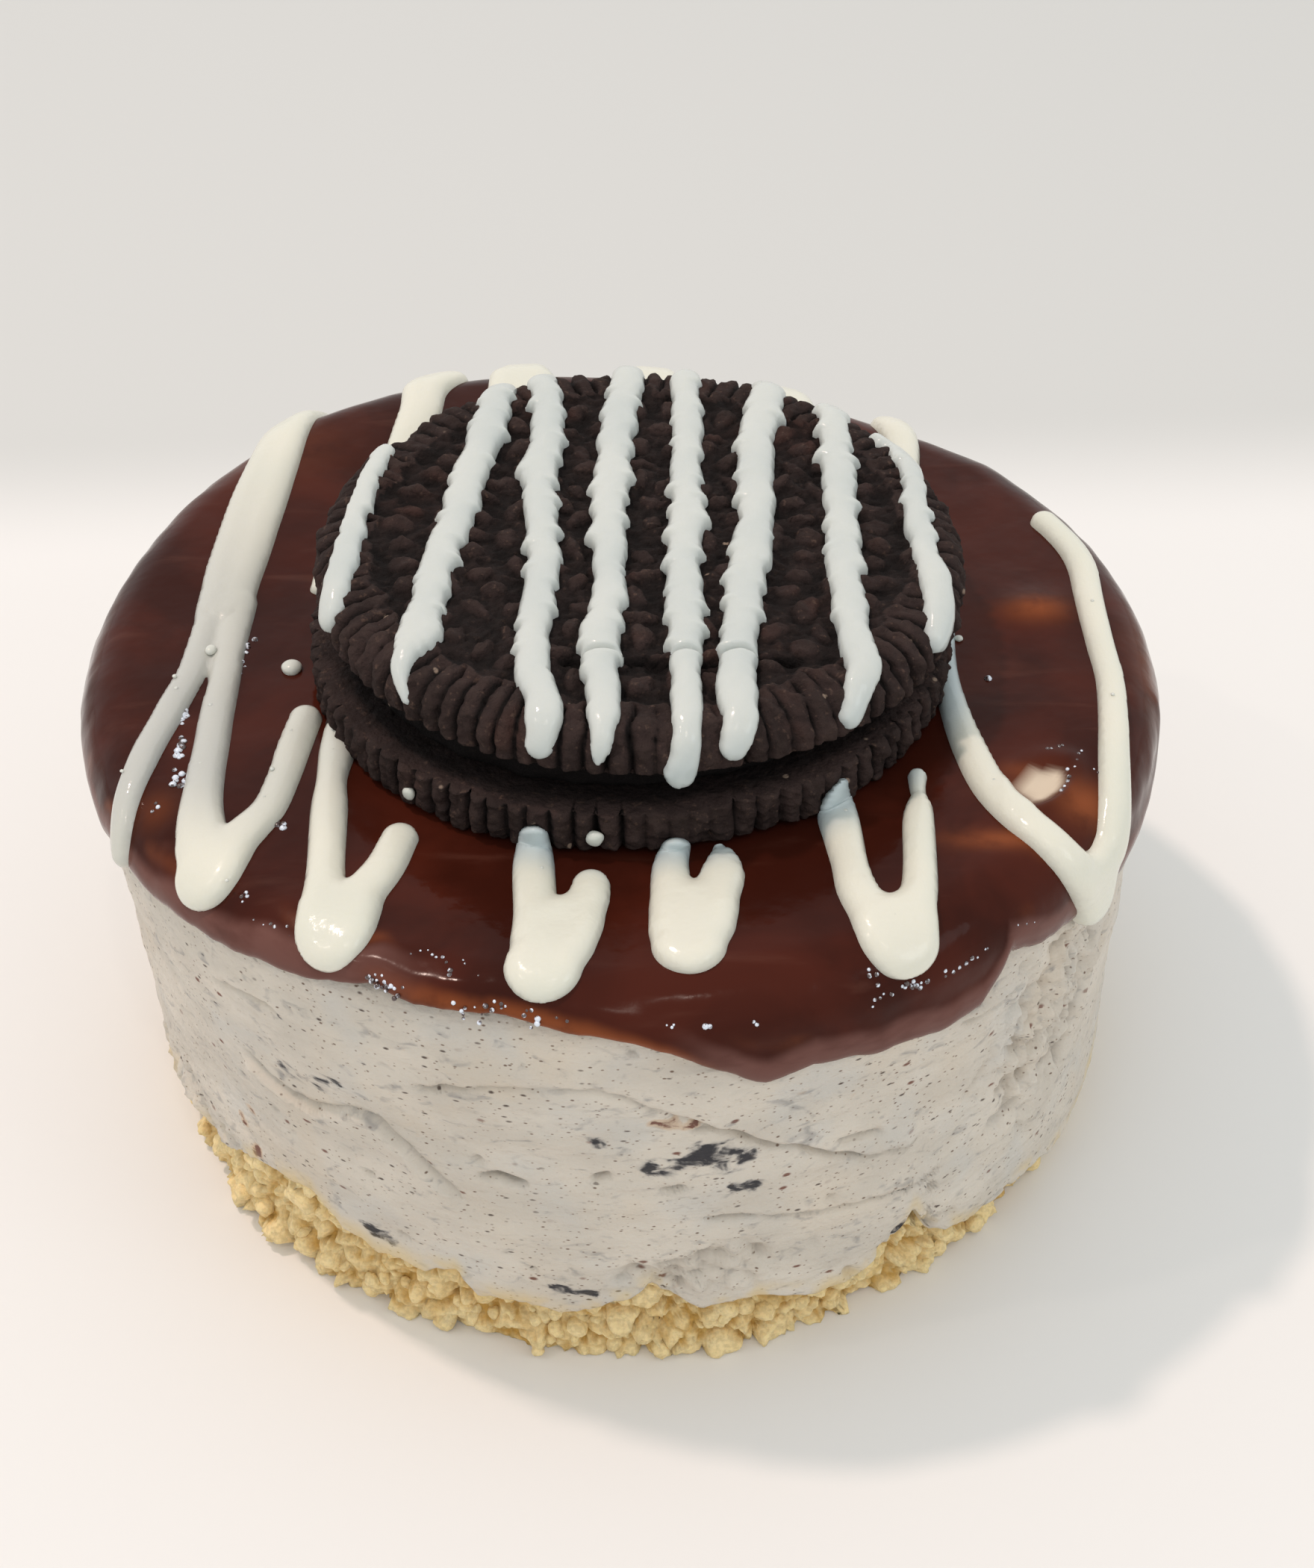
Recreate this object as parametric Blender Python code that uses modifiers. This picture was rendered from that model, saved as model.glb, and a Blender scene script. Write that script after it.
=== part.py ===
"""Small cookies and cream cheesecake: crumb base, cheesecake round, chocolate coat, sandwich cookie.

Metres, +Z up. The origin is on the ground under the middle of the cake, -Y is its front.
Every size below is in millimetres and becomes metres through MM.
"""

import math

import bmesh
import bpy
from mathutils import Vector, noise

MM = 0.001
GAP = 0.3
PART_NAME = "cookies_and_cream_cheesecake"

# Crumb base
CRUMB_RADIUS = 35.2
CRUMB_HEIGHT = 7.0
CRUMB_LUMP = 1.0
CRUMB_LUMP_SIZES = (2.6, 1.3)
CRUMB_SPREAD = 0.6
CRUMB_STEPS = 104

# Cheesecake round
WALL_RADIUS = 37.1
SHOULDER = 3.0
HEM_HEIGHT = 6.4
HEM_INNER_RADIUS = 36.1
HEM_TEAR = 0.9
SMEAR_DEPTH = 0.45
SMEAR_SIZE = 4.5
CHEESE_BOTTOM = CRUMB_HEIGHT + GAP

# Chocolate coat: a flat top that bends over the rim and runs down the wall
COAT_TOP = 36.1
COAT_THICKNESS = 1.4
COAT_ROUND = 4.0
CHEESE_TOP = COAT_TOP - COAT_THICKNESS - GAP
COAT_FLAT_RADIUS = WALL_RADIUS - SHOULDER
COAT_REACH = 37.8
COAT_SKIRT = 10.0
COAT_LIP = 0.8
COAT_STEPS = 72

# Sags of the coat's edge: angle from the front in degrees, extra reach, half width in degrees
COAT_SAGS = (
    (-78.0, 4.2, 30.0), (-42.0, 2.0, 12.0), (17.0, 6.4, 15.0), (34.0, 7.3, 7.5), (62.0, 6.6, 20.0),
    (96.0, 4.4, 17.0), (127.0, 6.0, 17.0), (160.0, 3.4, 16.0), (191.0, 5.6, 18.0),
    (222.0, 3.6, 15.0), (250.0, 5.0, 16.0),
)

# Sandwich cookie
COOKIE_RADIUS = 22.5
COOKIE_TEETH = 68
WAFER_THICKNESS = 3.2
WAFER_BEVEL = 2.2
TOOTH_DEPTH = 0.28
FIELD_RADIUS = 18.9
FIELD_BORDER = 19.6
FIELD_DEPTH = 0.3
LOWER_CENTRE = (0.85, -1.4)
LOWER_HEIGHT = COAT_TOP
UPPER_CENTRE = (1.64, -0.62)
UPPER_HEIGHT = 42.5
UPPER_TILT = (-0.031, 0.023)
FILLING_RADIUS = 19.6
FILLING_STEPS = 48
BED_RADIUS = 24.6

# Icing beads
BEAD_SINK = 0.45
BEAD_RISE = 0.95
POOL_HEIGHT = 1.4
COAT_BEAD_STEP = 3.6
WAFER_BEAD_STEP = 5.0
BEAD_END_LENGTH = 0.45
BEAD_END_SIZE = 0.22

# Hairpins of icing on the coat, as laid out with the rim unrolled flat: the free end of the
# left arm, the free end of the right arm, the outer end of the turn, arm width, pool width
HAIRPINS = (
    ((-28.9, 2.0), (-22.1, -8.1), (-26.8, -26.6), 2.3, 4.8),
    ((-20.9, -10.6), (-14.4, -21.6), (-18.0, -32.9), 2.4, 4.9),
    ((-5.8, -24.9), (-2.2, -26.2), (-4.9, -36.6), 2.6, 5.2),
    ((3.4, -25.3), (6.5, -25.3), (4.1, -34.8), 2.4, 4.9),
    ((14.4, -20.9), (19.7, -17.4), (17.2, -34.4), 2.3, 5.0),
    ((-9.6, 23.2), (-4.6, 24.2), (-7.3, 34.4), 2.4, 4.8),
    ((0.4, 24.2), (5.4, 24.0), (2.8, 35.2), 2.4, 4.9),
    ((10.8, 22.4), (15.6, 19.2), (13.4, 33.4), 2.4, 4.9),
)

# Single strokes of icing on the coat: (x, y, width) points on the same unrolled layout
STROKES = (
    ((-25.4, 29.0, 3.2), (-27.9, 20.0, 3.9), (-28.5, 10.0, 4.2), (-29.4, 1.5, 4.4)),
    ((-30.1, 1.0, 2.3), (-32.0, -7.7, 2.2), (-33.6, -14.0, 2.1), (-36.4, -18.4, 2.2)),
    ((-14.7, 35.2, 3.4), (-17.4, 29.5, 3.0), (-22.2, 16.0, 2.4), (-23.9, 8.0, 2.0)),
    ((24.9, -3.3, 1.8), (24.6, -12.0, 2.3), (27.2, -23.0, 2.6), (34.0, -25.0, 3.6)),
    ((33.6, 15.6, 2.6), (35.0, 5.0, 2.6), (34.6, -9.8, 2.4), (35.0, -19.0, 3.0), (35.4, -24.4, 4.2)),
    ((25.0, -0.4, 1.8), (25.4, 8.0, 2.2), (24.6, 18.0, 2.4), (22.6, 27.6, 3.4)),
)

# Stripes of icing on the upper wafer, from back to front, about the wafer's own centre
STRIPES = (
    ((-18.6, 10.4, 1.7), (-19.7, 2.6, 1.8), (-20.5, -5.4, 2.1), (-21.4, -8.4, 1.9)),
    ((-10.1, 20.4, 2.4), (-12.0, 8.1, 2.6), (-13.7, -2.7, 2.4), (-14.6, -11.5, 2.6), (-15.6, -15.4, 1.7)),
    ((-7.0, 20.8, 2.6), (-6.9, 5.0, 2.6), (-6.8, -10.0, 2.3), (-6.5, -18.0, 2.3), (-6.7, -20.2, 2.3),
     (-6.9, -22.2, 2.1)),
    ((-0.6, 22.0, 2.5), (-2.0, 5.0, 2.6), (-2.2, -7.7, 2.4), (-2.7, -13.0, 2.6), (-2.6, -19.0, 2.1),
     (-2.7, -21.2, 1.8), (-2.9, -23.0, 1.4)),
    ((3.7, 21.6, 2.3), (3.3, 5.0, 2.4), (3.0, -8.0, 2.5), (2.8, -18.6, 2.2), (2.8, -21.0, 2.0),
     (2.7, -22.8, 2.1), (2.5, -24.4, 2.1)),
    ((10.2, 19.8, 2.7), (8.5, 8.0, 2.8), (7.4, -4.0, 2.8), (6.2, -14.0, 2.6), (6.1, -18.2, 2.4),
     (6.1, -20.2, 2.2), (5.9, -22.0, 1.9)),
    ((14.4, 16.4, 2.3), (14.3, 2.5, 2.4), (14.0, -7.7, 2.4), (14.2, -13.0, 2.4), (14.1, -16.4, 2.1),
     (13.8, -18.6, 1.9)),
    ((18.0, 12.4, 1.7), (19.7, 5.0, 1.9), (19.7, -3.0, 2.0), (20.0, -7.4, 2.1), (20.3, -11.0, 2.0)),
)

COLOURS = {
    "crumb_base": ((0.66, 0.47, 0.18), 0.9),
    "cheesecake": ((0.58, 0.53, 0.48), 0.6),
    "chocolate_glaze": ((0.045, 0.011, 0.008), 0.15),
    "wafer_bottom": ((0.030, 0.020, 0.018), 0.85),
    "cookie_filling": ((0.020, 0.014, 0.012), 0.8),
    "wafer_top": ((0.030, 0.020, 0.018), 0.85),
}


def clear_scene():
    """Remove the objects that the file opens with."""
    for obj in list(bpy.data.objects):
        bpy.data.objects.remove(obj, do_unlink=True)


def new_collection(name):
    collection = bpy.data.collections.new(name)
    bpy.context.scene.collection.children.link(collection)
    return collection


def new_material(name):
    """A Principled material in the part's own colour and roughness."""
    colour, roughness = COLOURS[name]
    material = bpy.data.materials.new(name)
    material.use_nodes = True
    shader = material.node_tree.nodes["Principled BSDF"]
    shader.inputs["Base Color"].default_value = (*colour, 1.0)
    shader.inputs["Roughness"].default_value = roughness
    shader.inputs["Metallic"].default_value = 0.0
    return material


def frozen_mesh(obj, name):
    """The object's evaluated mesh, welded, with the object itself removed."""
    depsgraph = bpy.context.evaluated_depsgraph_get()
    mesh = bpy.data.meshes.new_from_object(obj.evaluated_get(depsgraph))
    bpy.data.objects.remove(obj, do_unlink=True)
    mesh.name = name
    weld(mesh)
    return mesh


def weld(mesh):
    """Merge doubles, drop what has no area, and turn every face outwards."""
    work = bmesh.new()
    work.from_mesh(mesh)
    bmesh.ops.remove_doubles(work, verts=work.verts, dist=0.00001)
    bmesh.ops.dissolve_degenerate(work, edges=work.edges, dist=0.000001)
    bmesh.ops.recalc_face_normals(work, faces=work.faces)
    work.to_mesh(mesh)
    work.free()


def finish_part(name, mesh, collection):
    """Put a mesh in the part's collection as a smooth shaded object with its own material."""
    obj = bpy.data.objects.new(name, mesh)
    mesh.materials.clear()
    mesh.materials.append(new_material(name))
    mesh.shade_smooth()
    mesh.set_sharp_from_angle(angle=math.radians(50))
    collection.objects.link(obj)
    return obj


def turned(name, profile, steps, relief):
    """A turned body. The profile's (radius, height) points run from the top of the axis, down
    the outer side and back to the axis; relief then moves each point of the surface."""
    outline = bpy.data.meshes.new(name)
    points = [(radius * MM, 0.0, height * MM) for radius, height in profile]
    outline.from_pydata(points, [(i, i + 1) for i in range(len(points) - 1)], [])
    obj = bpy.data.objects.new(name, outline)
    bpy.context.scene.collection.objects.link(obj)
    screw = obj.modifiers.new("turn", "SCREW")
    screw.axis = "Z"
    screw.angle = math.tau
    screw.steps = steps
    screw.render_steps = steps
    screw.use_merge_vertices = True
    screw.merge_threshold = 0.00001
    mesh = frozen_mesh(obj, name)
    for vertex in mesh.vertices:
        vertex.co = Vector(relief(*(vertex.co / MM))) * MM
    mesh.update()
    return mesh


def angle_from_front(x, y):
    """Degrees round the cake, 0 at the front and growing towards +X."""
    return math.degrees(math.atan2(x, -y))


def ripple(x, y, z, size, seed):
    """Smooth noise between about -1 and 1, with bumps of the given size."""
    return noise.noise(Vector((x / size + seed, y / size, z / size)))


def blend(value, low, high):
    """0 at low, 1 at high, smooth between them."""
    share = min(max((value - low) / (high - low), 0.0), 1.0)
    return share * share * (3.0 - 2.0 * share)


def scaled_out(x, y, factor):
    return x * factor, y * factor


def out_of_round(x, y):
    """How much wider than round the wall is at this angle, in millimetres."""
    turn = math.radians(angle_from_front(x, y))
    return 0.12 * math.sin(2.0 * turn + 0.6) + 0.10 * math.sin(3.0 * turn + 2.0)


def crumb_relief(x, y, z):
    """Crumbly lumps round the side; the flat top and bottom stay flat."""
    radius = math.hypot(x, y)
    if radius < CRUMB_RADIUS - 3.0:
        return x, y, z
    coarse, fine = CRUMB_LUMP_SIZES
    lumps = ripple(x, y, z, coarse, 3.0) + 0.7 * ripple(x, y, z, fine, 9.0)
    foot = 1.0 - blend(z, 2.0, CRUMB_HEIGHT - 1.0)
    spread = CRUMB_SPREAD * foot * (0.5 + ripple(x, y, 0.0, 9.0, 5.0))
    grown = radius + CRUMB_LUMP * lumps + spread
    if z > CRUMB_HEIGHT - 2.0:
        grown = min(grown, CRUMB_RADIUS + GAP)
    return (*scaled_out(x, y, grown / radius), z)


def wall_relief(x, y, z):
    """A wall smeared smooth by a spatula: slightly out of round, folded, with a torn hem."""
    radius = math.hypot(x, y)
    if radius < HEM_INNER_RADIUS - 0.5:
        return x, y, z
    height = z
    if z < HEM_HEIGHT + 0.4:
        tear = 1.2 * ripple(x, y, 0.0, 5.5, 2.0) + 0.7 * ripple(x, y, 0.0, 2.2, 7.0)
        height = z + min(max(tear, -1.0), 1.0) * HEM_TEAR
    smear = SMEAR_DEPTH * ripple(x * 0.4, y * 0.4, z, SMEAR_SIZE, 1.0)
    below_coat = 1.0 - blend(z, 20.0, 26.0)
    grown = radius + (smear + out_of_round(x, y)) * below_coat
    return (*scaled_out(x, y, grown / radius), height)


def coat_reach(degrees):
    """How far out and down the coat runs at this angle, measured along its surface."""
    extra = 0.0
    for centre, depth, half_width in COAT_SAGS:
        away = (degrees - centre + 180.0) % 360.0 - 180.0
        extra = max(extra, depth * math.exp(-((away / half_width) ** 4)))
    return COAT_REACH + extra


def coat_bend(run):
    """How far the coat has turned down, in radians, at this distance along its surface."""
    return min(max((run - COAT_FLAT_RADIUS) / COAT_ROUND, 0.0), math.pi / 2.0)


def on_coat(x, y, lift):
    """A point of the unrolled layout, laid on the coat and lifted along its normal."""
    run = math.hypot(x, y)
    turn = math.atan2(x, -y)
    bend = coat_bend(run)
    down = max(run - COAT_FLAT_RADIUS - COAT_ROUND * math.pi / 2.0, 0.0)
    radius = min(run, COAT_FLAT_RADIUS) + (COAT_ROUND + lift) * math.sin(bend)
    height = COAT_TOP - COAT_ROUND + (COAT_ROUND + lift) * math.cos(bend) - down
    return radius * math.sin(turn), -radius * math.cos(turn), height


def coat_relief(x, y, lift):
    """Lay a flat disc on the cake, its skirt stretched to the coat's uneven edge. The coat is
    half as thick on the wall as on the top."""
    run = math.hypot(x, y)
    if run > COAT_FLAT_RADIUS:
        share = (run - COAT_FLAT_RADIUS) / COAT_SKIRT
        reach = coat_reach(angle_from_front(x, y))
        factor = (COAT_FLAT_RADIUS + share * (reach - COAT_FLAT_RADIUS)) / run
        x, y = scaled_out(x, y, factor)
        lift *= 1.0 - 0.5 * coat_bend(run * factor) / (math.pi / 2.0)
    return on_coat(x, y, lift)


def quarter_round(centre_radius, centre_height, size, count, start=0.0):
    """Profile points on a quarter circle, from straight up (0) towards straight out (90)."""
    points = []
    for i in range(count + 1):
        turn = math.radians(start + (90.0 - start) * i / count)
        radius = centre_radius + size * math.sin(turn)
        points.append((radius, centre_height + size * math.cos(turn)))
    return points


def crumb_base():
    side = [(CRUMB_RADIUS, CRUMB_HEIGHT * share) for share in (0.82, 0.64, 0.46, 0.28, 0.12)]
    rim = [(CRUMB_RADIUS - 3.4, CRUMB_HEIGHT), (CRUMB_RADIUS - 0.6, CRUMB_HEIGHT)]
    foot = [(CRUMB_RADIUS - 0.5, 0.0), (CRUMB_RADIUS - 4.0, 0.0)]
    profile = [(0.0, CRUMB_HEIGHT), *rim, *side, *foot, (0.0, 0.0)]
    return turned("crumb_base", profile, CRUMB_STEPS, crumb_relief)


def cheesecake():
    shoulder = quarter_round(COAT_FLAT_RADIUS, CHEESE_TOP - SHOULDER, SHOULDER, 4)
    wall = [(WALL_RADIUS, height) for height in (27.5, 21.5, 15.5, 10.0)]
    hem = [(WALL_RADIUS - 0.1, HEM_HEIGHT), (HEM_INNER_RADIUS, HEM_HEIGHT + 0.35)]
    profile = [(0.0, CHEESE_TOP), *shoulder, *wall, *hem]
    profile += [(CRUMB_RADIUS + 0.1, CHEESE_BOTTOM), (0.0, CHEESE_BOTTOM)]
    return turned("cheesecake", profile, COAT_STEPS, wall_relief)


def glaze_coat():
    """A thin coat: a slightly sunk bed under the cookie, a rounded rim and a skirt. It is
    turned as a flat disc of (run, lift) points, which the relief then lays on the cake."""

    def skirt(share):
        return COAT_FLAT_RADIUS + share * COAT_SKIRT

    top = [(0.0, -GAP), (BED_RADIUS - 1.0, -GAP), (BED_RADIUS, 0.0), (COAT_FLAT_RADIUS, 0.0)]
    outer = [(skirt(share), 0.0) for share in (0.2, 0.4, 0.6, 0.8)]
    lip = [(skirt(0.95), -0.3 * COAT_LIP), (skirt(1.0), -COAT_LIP), (skirt(0.96), -COAT_THICKNESS)]
    inner = [(skirt(share), -COAT_THICKNESS) for share in (0.7, 0.45, 0.2, 0.0)]
    profile = [*top, *outer, *lip, *inner, (0.0, -COAT_THICKNESS)]
    return turned("chocolate_glaze", profile, COAT_STEPS, coat_relief)


def on_wafer(x, y, lift):
    """A point of the stripes' layout, laid on the upper wafer's top and over its bevelled edge."""
    flat = COOKIE_RADIUS - WAFER_BEVEL
    run = math.hypot(x, y)
    turn = math.atan2(x, -y)
    bend = min(max((run - flat) / WAFER_BEVEL, 0.0), math.pi / 2.0)
    down = max(run - flat - WAFER_BEVEL * math.pi / 2.0, 0.0)
    radius = min(run, flat) + (WAFER_BEVEL + lift) * math.sin(bend)
    height = WAFER_THICKNESS - WAFER_BEVEL + (WAFER_BEVEL + lift) * math.cos(bend) - down
    return upper_place(radius * math.sin(turn), -radius * math.cos(turn), height)


def upper_place(x, y, z):
    """From the upper wafer's own frame to its place, with its slight tilt."""
    height = UPPER_HEIGHT + z + UPPER_TILT[0] * x + UPPER_TILT[1] * y
    return UPPER_CENTRE[0] + x, UPPER_CENTRE[1] + y, height


def smooth_path(keys, step):
    """Points about one step apart on a curve through the keys, each (x, y, width)."""
    keys = [Vector(key) for key in keys]
    padded = [keys[0] * 2.0 - keys[1], *keys, keys[-1] * 2.0 - keys[-2]]
    path = []
    for i in range(1, len(padded) - 2):
        before, start, end, after = padded[i - 1:i + 3]
        count = max(1, round((end.xy - start.xy).length / step))
        for k in range(count):
            t = k / count
            bent = (end - before) * t + (before * 2.0 - start * 5.0 + end * 4.0 - after) * t * t
            bent += (start * 3.0 - before - end * 3.0 + after) * t * t * t
            path.append(start + bent * 0.5)
    path.append(keys[-1])
    return path


def laid_down(mesh, layer, place):
    """Flatten a shape made on the layout plane and lay it on the surface that place gives."""
    for vertex in mesh.vertices:
        x, y, z = vertex.co
        vertex.co = Vector(place(x, y, max(z * BEAD_RISE, -BEAD_SINK))) * MM
    weld(mesh)
    obj = bpy.data.objects.new(mesh.name, mesh)
    obj.hide_render = True
    obj.display_type = "WIRE"
    layer.objects.link(obj)


def bead(keys, place, step, layer):
    """A bead of icing with rounded ends along the keys, each (x, y, width)."""
    path = smooth_path(keys, step)
    curve = bpy.data.curves.new("bead", "CURVE")
    curve.dimensions = "3D"
    curve.bevel_depth = 1.0
    curve.bevel_resolution = 1
    curve.use_fill_caps = True
    first = path[0] + (path[0] - path[1]).normalized() * BEAD_END_LENGTH * path[0].z
    last = path[-1] + (path[-1] - path[-2]).normalized() * BEAD_END_LENGTH * path[-1].z
    rows = [(first.x, first.y, path[0].z * BEAD_END_SIZE), *((p.x, p.y, p.z * 0.5) for p in path)]
    rows.append((last.x, last.y, path[-1].z * BEAD_END_SIZE))
    spline = curve.splines.new("POLY")
    spline.points.add(len(rows) - 1)
    for point, (x, y, radius) in zip(spline.points, rows):
        point.co = (x, y, 0.15 * radius, 1.0)
        point.radius = radius
    obj = bpy.data.objects.new("bead", curve)
    bpy.context.scene.collection.objects.link(obj)
    laid_down(frozen_mesh(obj, "bead"), layer, place)
    bpy.data.curves.remove(curve)


def pool(centre, half_width, half_length, heading, place, layer):
    """A rounded pool of icing at a turn, longer along its heading."""
    work = bmesh.new()
    bmesh.ops.create_uvsphere(work, u_segments=10, v_segments=6, radius=1.0)
    mesh = bpy.data.meshes.new("pool")
    work.to_mesh(mesh)
    work.free()
    along = Vector(heading).normalized()
    for vertex in mesh.vertices:
        ahead = vertex.co.y * half_length
        aside = vertex.co.x * half_width
        x = centre[0] + ahead * along.x + aside * along.y
        y = centre[1] + ahead * along.y - aside * along.x
        vertex.co = (x, y, vertex.co.z * POOL_HEIGHT)
    laid_down(mesh, layer, place)


def hairpin(left, right, tip, arm, width, place, layer):
    """Two arms of icing that meet in a pool at the outer end of their turn."""
    left, right, tip = Vector(left), Vector(right), Vector(tip)
    heading = (tip - (left + right) * 0.5).normalized()
    aside = Vector((-heading.y, heading.x))
    if (left - right).dot(aside) < 0.0:
        aside.negate()
    centre = tip - heading * width * 0.62
    spread = (width - arm) * 0.5
    for end, side in ((left, 1.0), (right, -1.0)):
        near = centre + aside * side * spread
        knee = near.lerp(end, 0.35) + aside * side * 0.15
        keys = ((end.x, end.y, arm), (knee.x, knee.y, arm * 1.08), (near.x, near.y, arm * 1.15))
        bead(keys, place, COAT_BEAD_STEP, layer)
    pool(centre, width * 0.5, width * 0.62, heading, place, layer)


def join_flat_faces(mesh):
    """Make one face of each flat area, so that a union cuts it into few pieces."""
    flat = math.radians(0.1)
    work = bmesh.new()
    work.from_mesh(mesh)
    bmesh.ops.dissolve_limit(work, angle_limit=flat, verts=work.verts, edges=work.edges)
    work.to_mesh(mesh)
    work.free()


def fuse(name, mesh, layer):
    """Union a body with every shape in a layer, and remove those shapes afterwards."""
    join_flat_faces(mesh)
    obj = bpy.data.objects.new(name, mesh)
    bpy.context.scene.collection.objects.link(obj)
    union = obj.modifiers.new("fuse", "BOOLEAN")
    union.operation = "UNION"
    union.operand_type = "COLLECTION"
    union.collection = layer
    union.solver = "EXACT"
    fused = frozen_mesh(obj, name)
    for tool in list(layer.objects):
        bpy.data.objects.remove(tool, do_unlink=True)
    return largest_body(fused)


def largest_body(mesh):
    """Keep the biggest body that is joined face to face, and drop scraps and sealed hollows."""
    work = bmesh.new()
    work.from_mesh(mesh)
    bmesh.ops.triangulate(work, faces=work.faces)
    left = set(work.faces)
    bodies = []
    while left:
        body = []
        front = [left.pop()]
        while front:
            face = front.pop()
            body.append(face)
            for edge in face.edges:
                for other in edge.link_faces if edge.is_manifold else ():
                    if other in left:
                        left.discard(other)
                        front.append(other)
        bodies.append(body)
    bodies.sort(key=len)
    scraps = [face for body in bodies[:-1] for face in body]
    bmesh.ops.delete(work, geom=scraps, context="FACES")
    work.to_mesh(mesh)
    work.free()
    return mesh


def tooth_relief(x, y, z, low, high):
    """Push every second step of a wafer's edge inwards, so that the rim is toothed."""
    radius = math.hypot(x, y)
    if radius < FIELD_BORDER - 0.5 or not low < z < high:
        return x, y, z
    step = round(math.atan2(y, x) / math.tau * 2.0 * COOKIE_TEETH)
    if step % 2 == 0:
        return x, y, z
    return (*scaled_out(x, y, 1.0 - TOOTH_DEPTH / radius), z - 0.12 * TOOTH_DEPTH)


def wafer_profile():
    """Half a wafer's outline with its patterned face up."""
    edge = quarter_round(COOKIE_RADIUS - WAFER_BEVEL, WAFER_THICKNESS - WAFER_BEVEL, WAFER_BEVEL, 2, 22.0)
    field = WAFER_THICKNESS - FIELD_DEPTH
    border = [(FIELD_RADIUS, field), (FIELD_BORDER, WAFER_THICKNESS)]
    return [(0.0, field), *border, *edge, (COOKIE_RADIUS - 0.5, 0.0), (0.0, 0.0)]


def wafer_bottom():
    """The lower wafer, patterned face down, flat face up."""
    profile = [(radius, WAFER_THICKNESS - height) for radius, height in reversed(wafer_profile())]

    def place(x, y, z):
        x, y, z = tooth_relief(x, y, z, 0.15, WAFER_THICKNESS + 0.1)
        return x + LOWER_CENTRE[0], y + LOWER_CENTRE[1], z + LOWER_HEIGHT

    return turned("wafer_bottom", profile, 2 * COOKIE_TEETH, place)


def wafer_top(layer):
    """The upper wafer, patterned face up, with its icing stripes fused on."""

    def place(x, y, z):
        return upper_place(*tooth_relief(x, y, z, -0.1, WAFER_THICKNESS - 0.15))

    wafer = turned("wafer_top", wafer_profile(), 2 * COOKIE_TEETH, place)
    for keys in STRIPES:
        bead(keys, on_wafer, WAFER_BEAD_STEP, layer)
    return fuse("wafer_top", wafer, layer)


def cookie_filling():
    """The disc of filling, set back from both wafers' rims, its top parallel to the upper wafer."""
    low = LOWER_HEIGHT + WAFER_THICKNESS + GAP
    high = UPPER_HEIGHT - GAP
    middle = (low + high) / 2.0
    profile = [(0.0, high), (FILLING_RADIUS - 0.4, high), (FILLING_RADIUS, middle)]
    profile += [(FILLING_RADIUS - 0.4, low), (0.0, low)]

    def place(x, y, z):
        share = (z - low) / (high - low)
        tilt = UPPER_TILT[0] * (x + LOWER_CENTRE[0] - UPPER_CENTRE[0])
        tilt += UPPER_TILT[1] * (y + LOWER_CENTRE[1] - UPPER_CENTRE[1])
        return x + LOWER_CENTRE[0], y + LOWER_CENTRE[1], z + share * tilt

    return turned("cookie_filling", profile, FILLING_STEPS, place)


def chocolate_glaze(layer):
    """The coat with its hairpins and strokes of icing fused on."""
    coat = glaze_coat()
    for left, right, tip, arm, width in HAIRPINS:
        hairpin(left, right, tip, arm, width, on_coat, layer)
    for keys in STROKES:
        bead(keys, on_coat, COAT_BEAD_STEP, layer)
    return fuse("chocolate_glaze", coat, layer)


def main():
    clear_scene()
    parts = new_collection(PART_NAME)
    layer = new_collection("icing_shapes")
    finish_part("crumb_base", crumb_base(), parts)
    finish_part("cheesecake", cheesecake(), parts)
    finish_part("chocolate_glaze", chocolate_glaze(layer), parts)
    finish_part("wafer_bottom", wafer_bottom(), parts)
    finish_part("cookie_filling", cookie_filling(), parts)
    finish_part("wafer_top", wafer_top(layer), parts)


main()
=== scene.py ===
"""Looks of a small cookies and cream cheesecake, laid out as an add-on and run as a script.

All shapes are worked out in millimetres with numpy and become metres when they are put into a mesh.
Angles round the cake are in degrees, 0 at the front (-Y) and growing towards +X.
"""

import itertools
import math

import bpy
import numpy as np
from mathutils import Matrix


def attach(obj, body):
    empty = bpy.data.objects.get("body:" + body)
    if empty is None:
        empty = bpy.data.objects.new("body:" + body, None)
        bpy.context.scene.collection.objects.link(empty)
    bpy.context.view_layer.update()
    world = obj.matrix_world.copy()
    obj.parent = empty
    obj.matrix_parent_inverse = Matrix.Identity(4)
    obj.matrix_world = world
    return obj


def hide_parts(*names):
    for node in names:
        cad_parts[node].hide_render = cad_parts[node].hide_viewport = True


bl_info = {
    "name": "Cookies and cream cheesecake",
    "version": (1, 0, 0),
    "blender": (4, 5, 0),
    "location": "3D View > Sidebar > Cheesecake",
    "description": "Builds a small iced cheesecake with a sandwich cookie on top",
    "category": "Add Mesh",
}

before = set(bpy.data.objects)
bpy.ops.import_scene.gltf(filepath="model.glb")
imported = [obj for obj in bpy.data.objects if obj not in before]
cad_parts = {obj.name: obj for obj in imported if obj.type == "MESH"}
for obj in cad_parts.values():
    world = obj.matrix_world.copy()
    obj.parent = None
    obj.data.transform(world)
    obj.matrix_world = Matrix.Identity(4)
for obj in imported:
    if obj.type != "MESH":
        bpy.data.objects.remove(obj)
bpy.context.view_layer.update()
MM = 0.001
BODY = "root"

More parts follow.
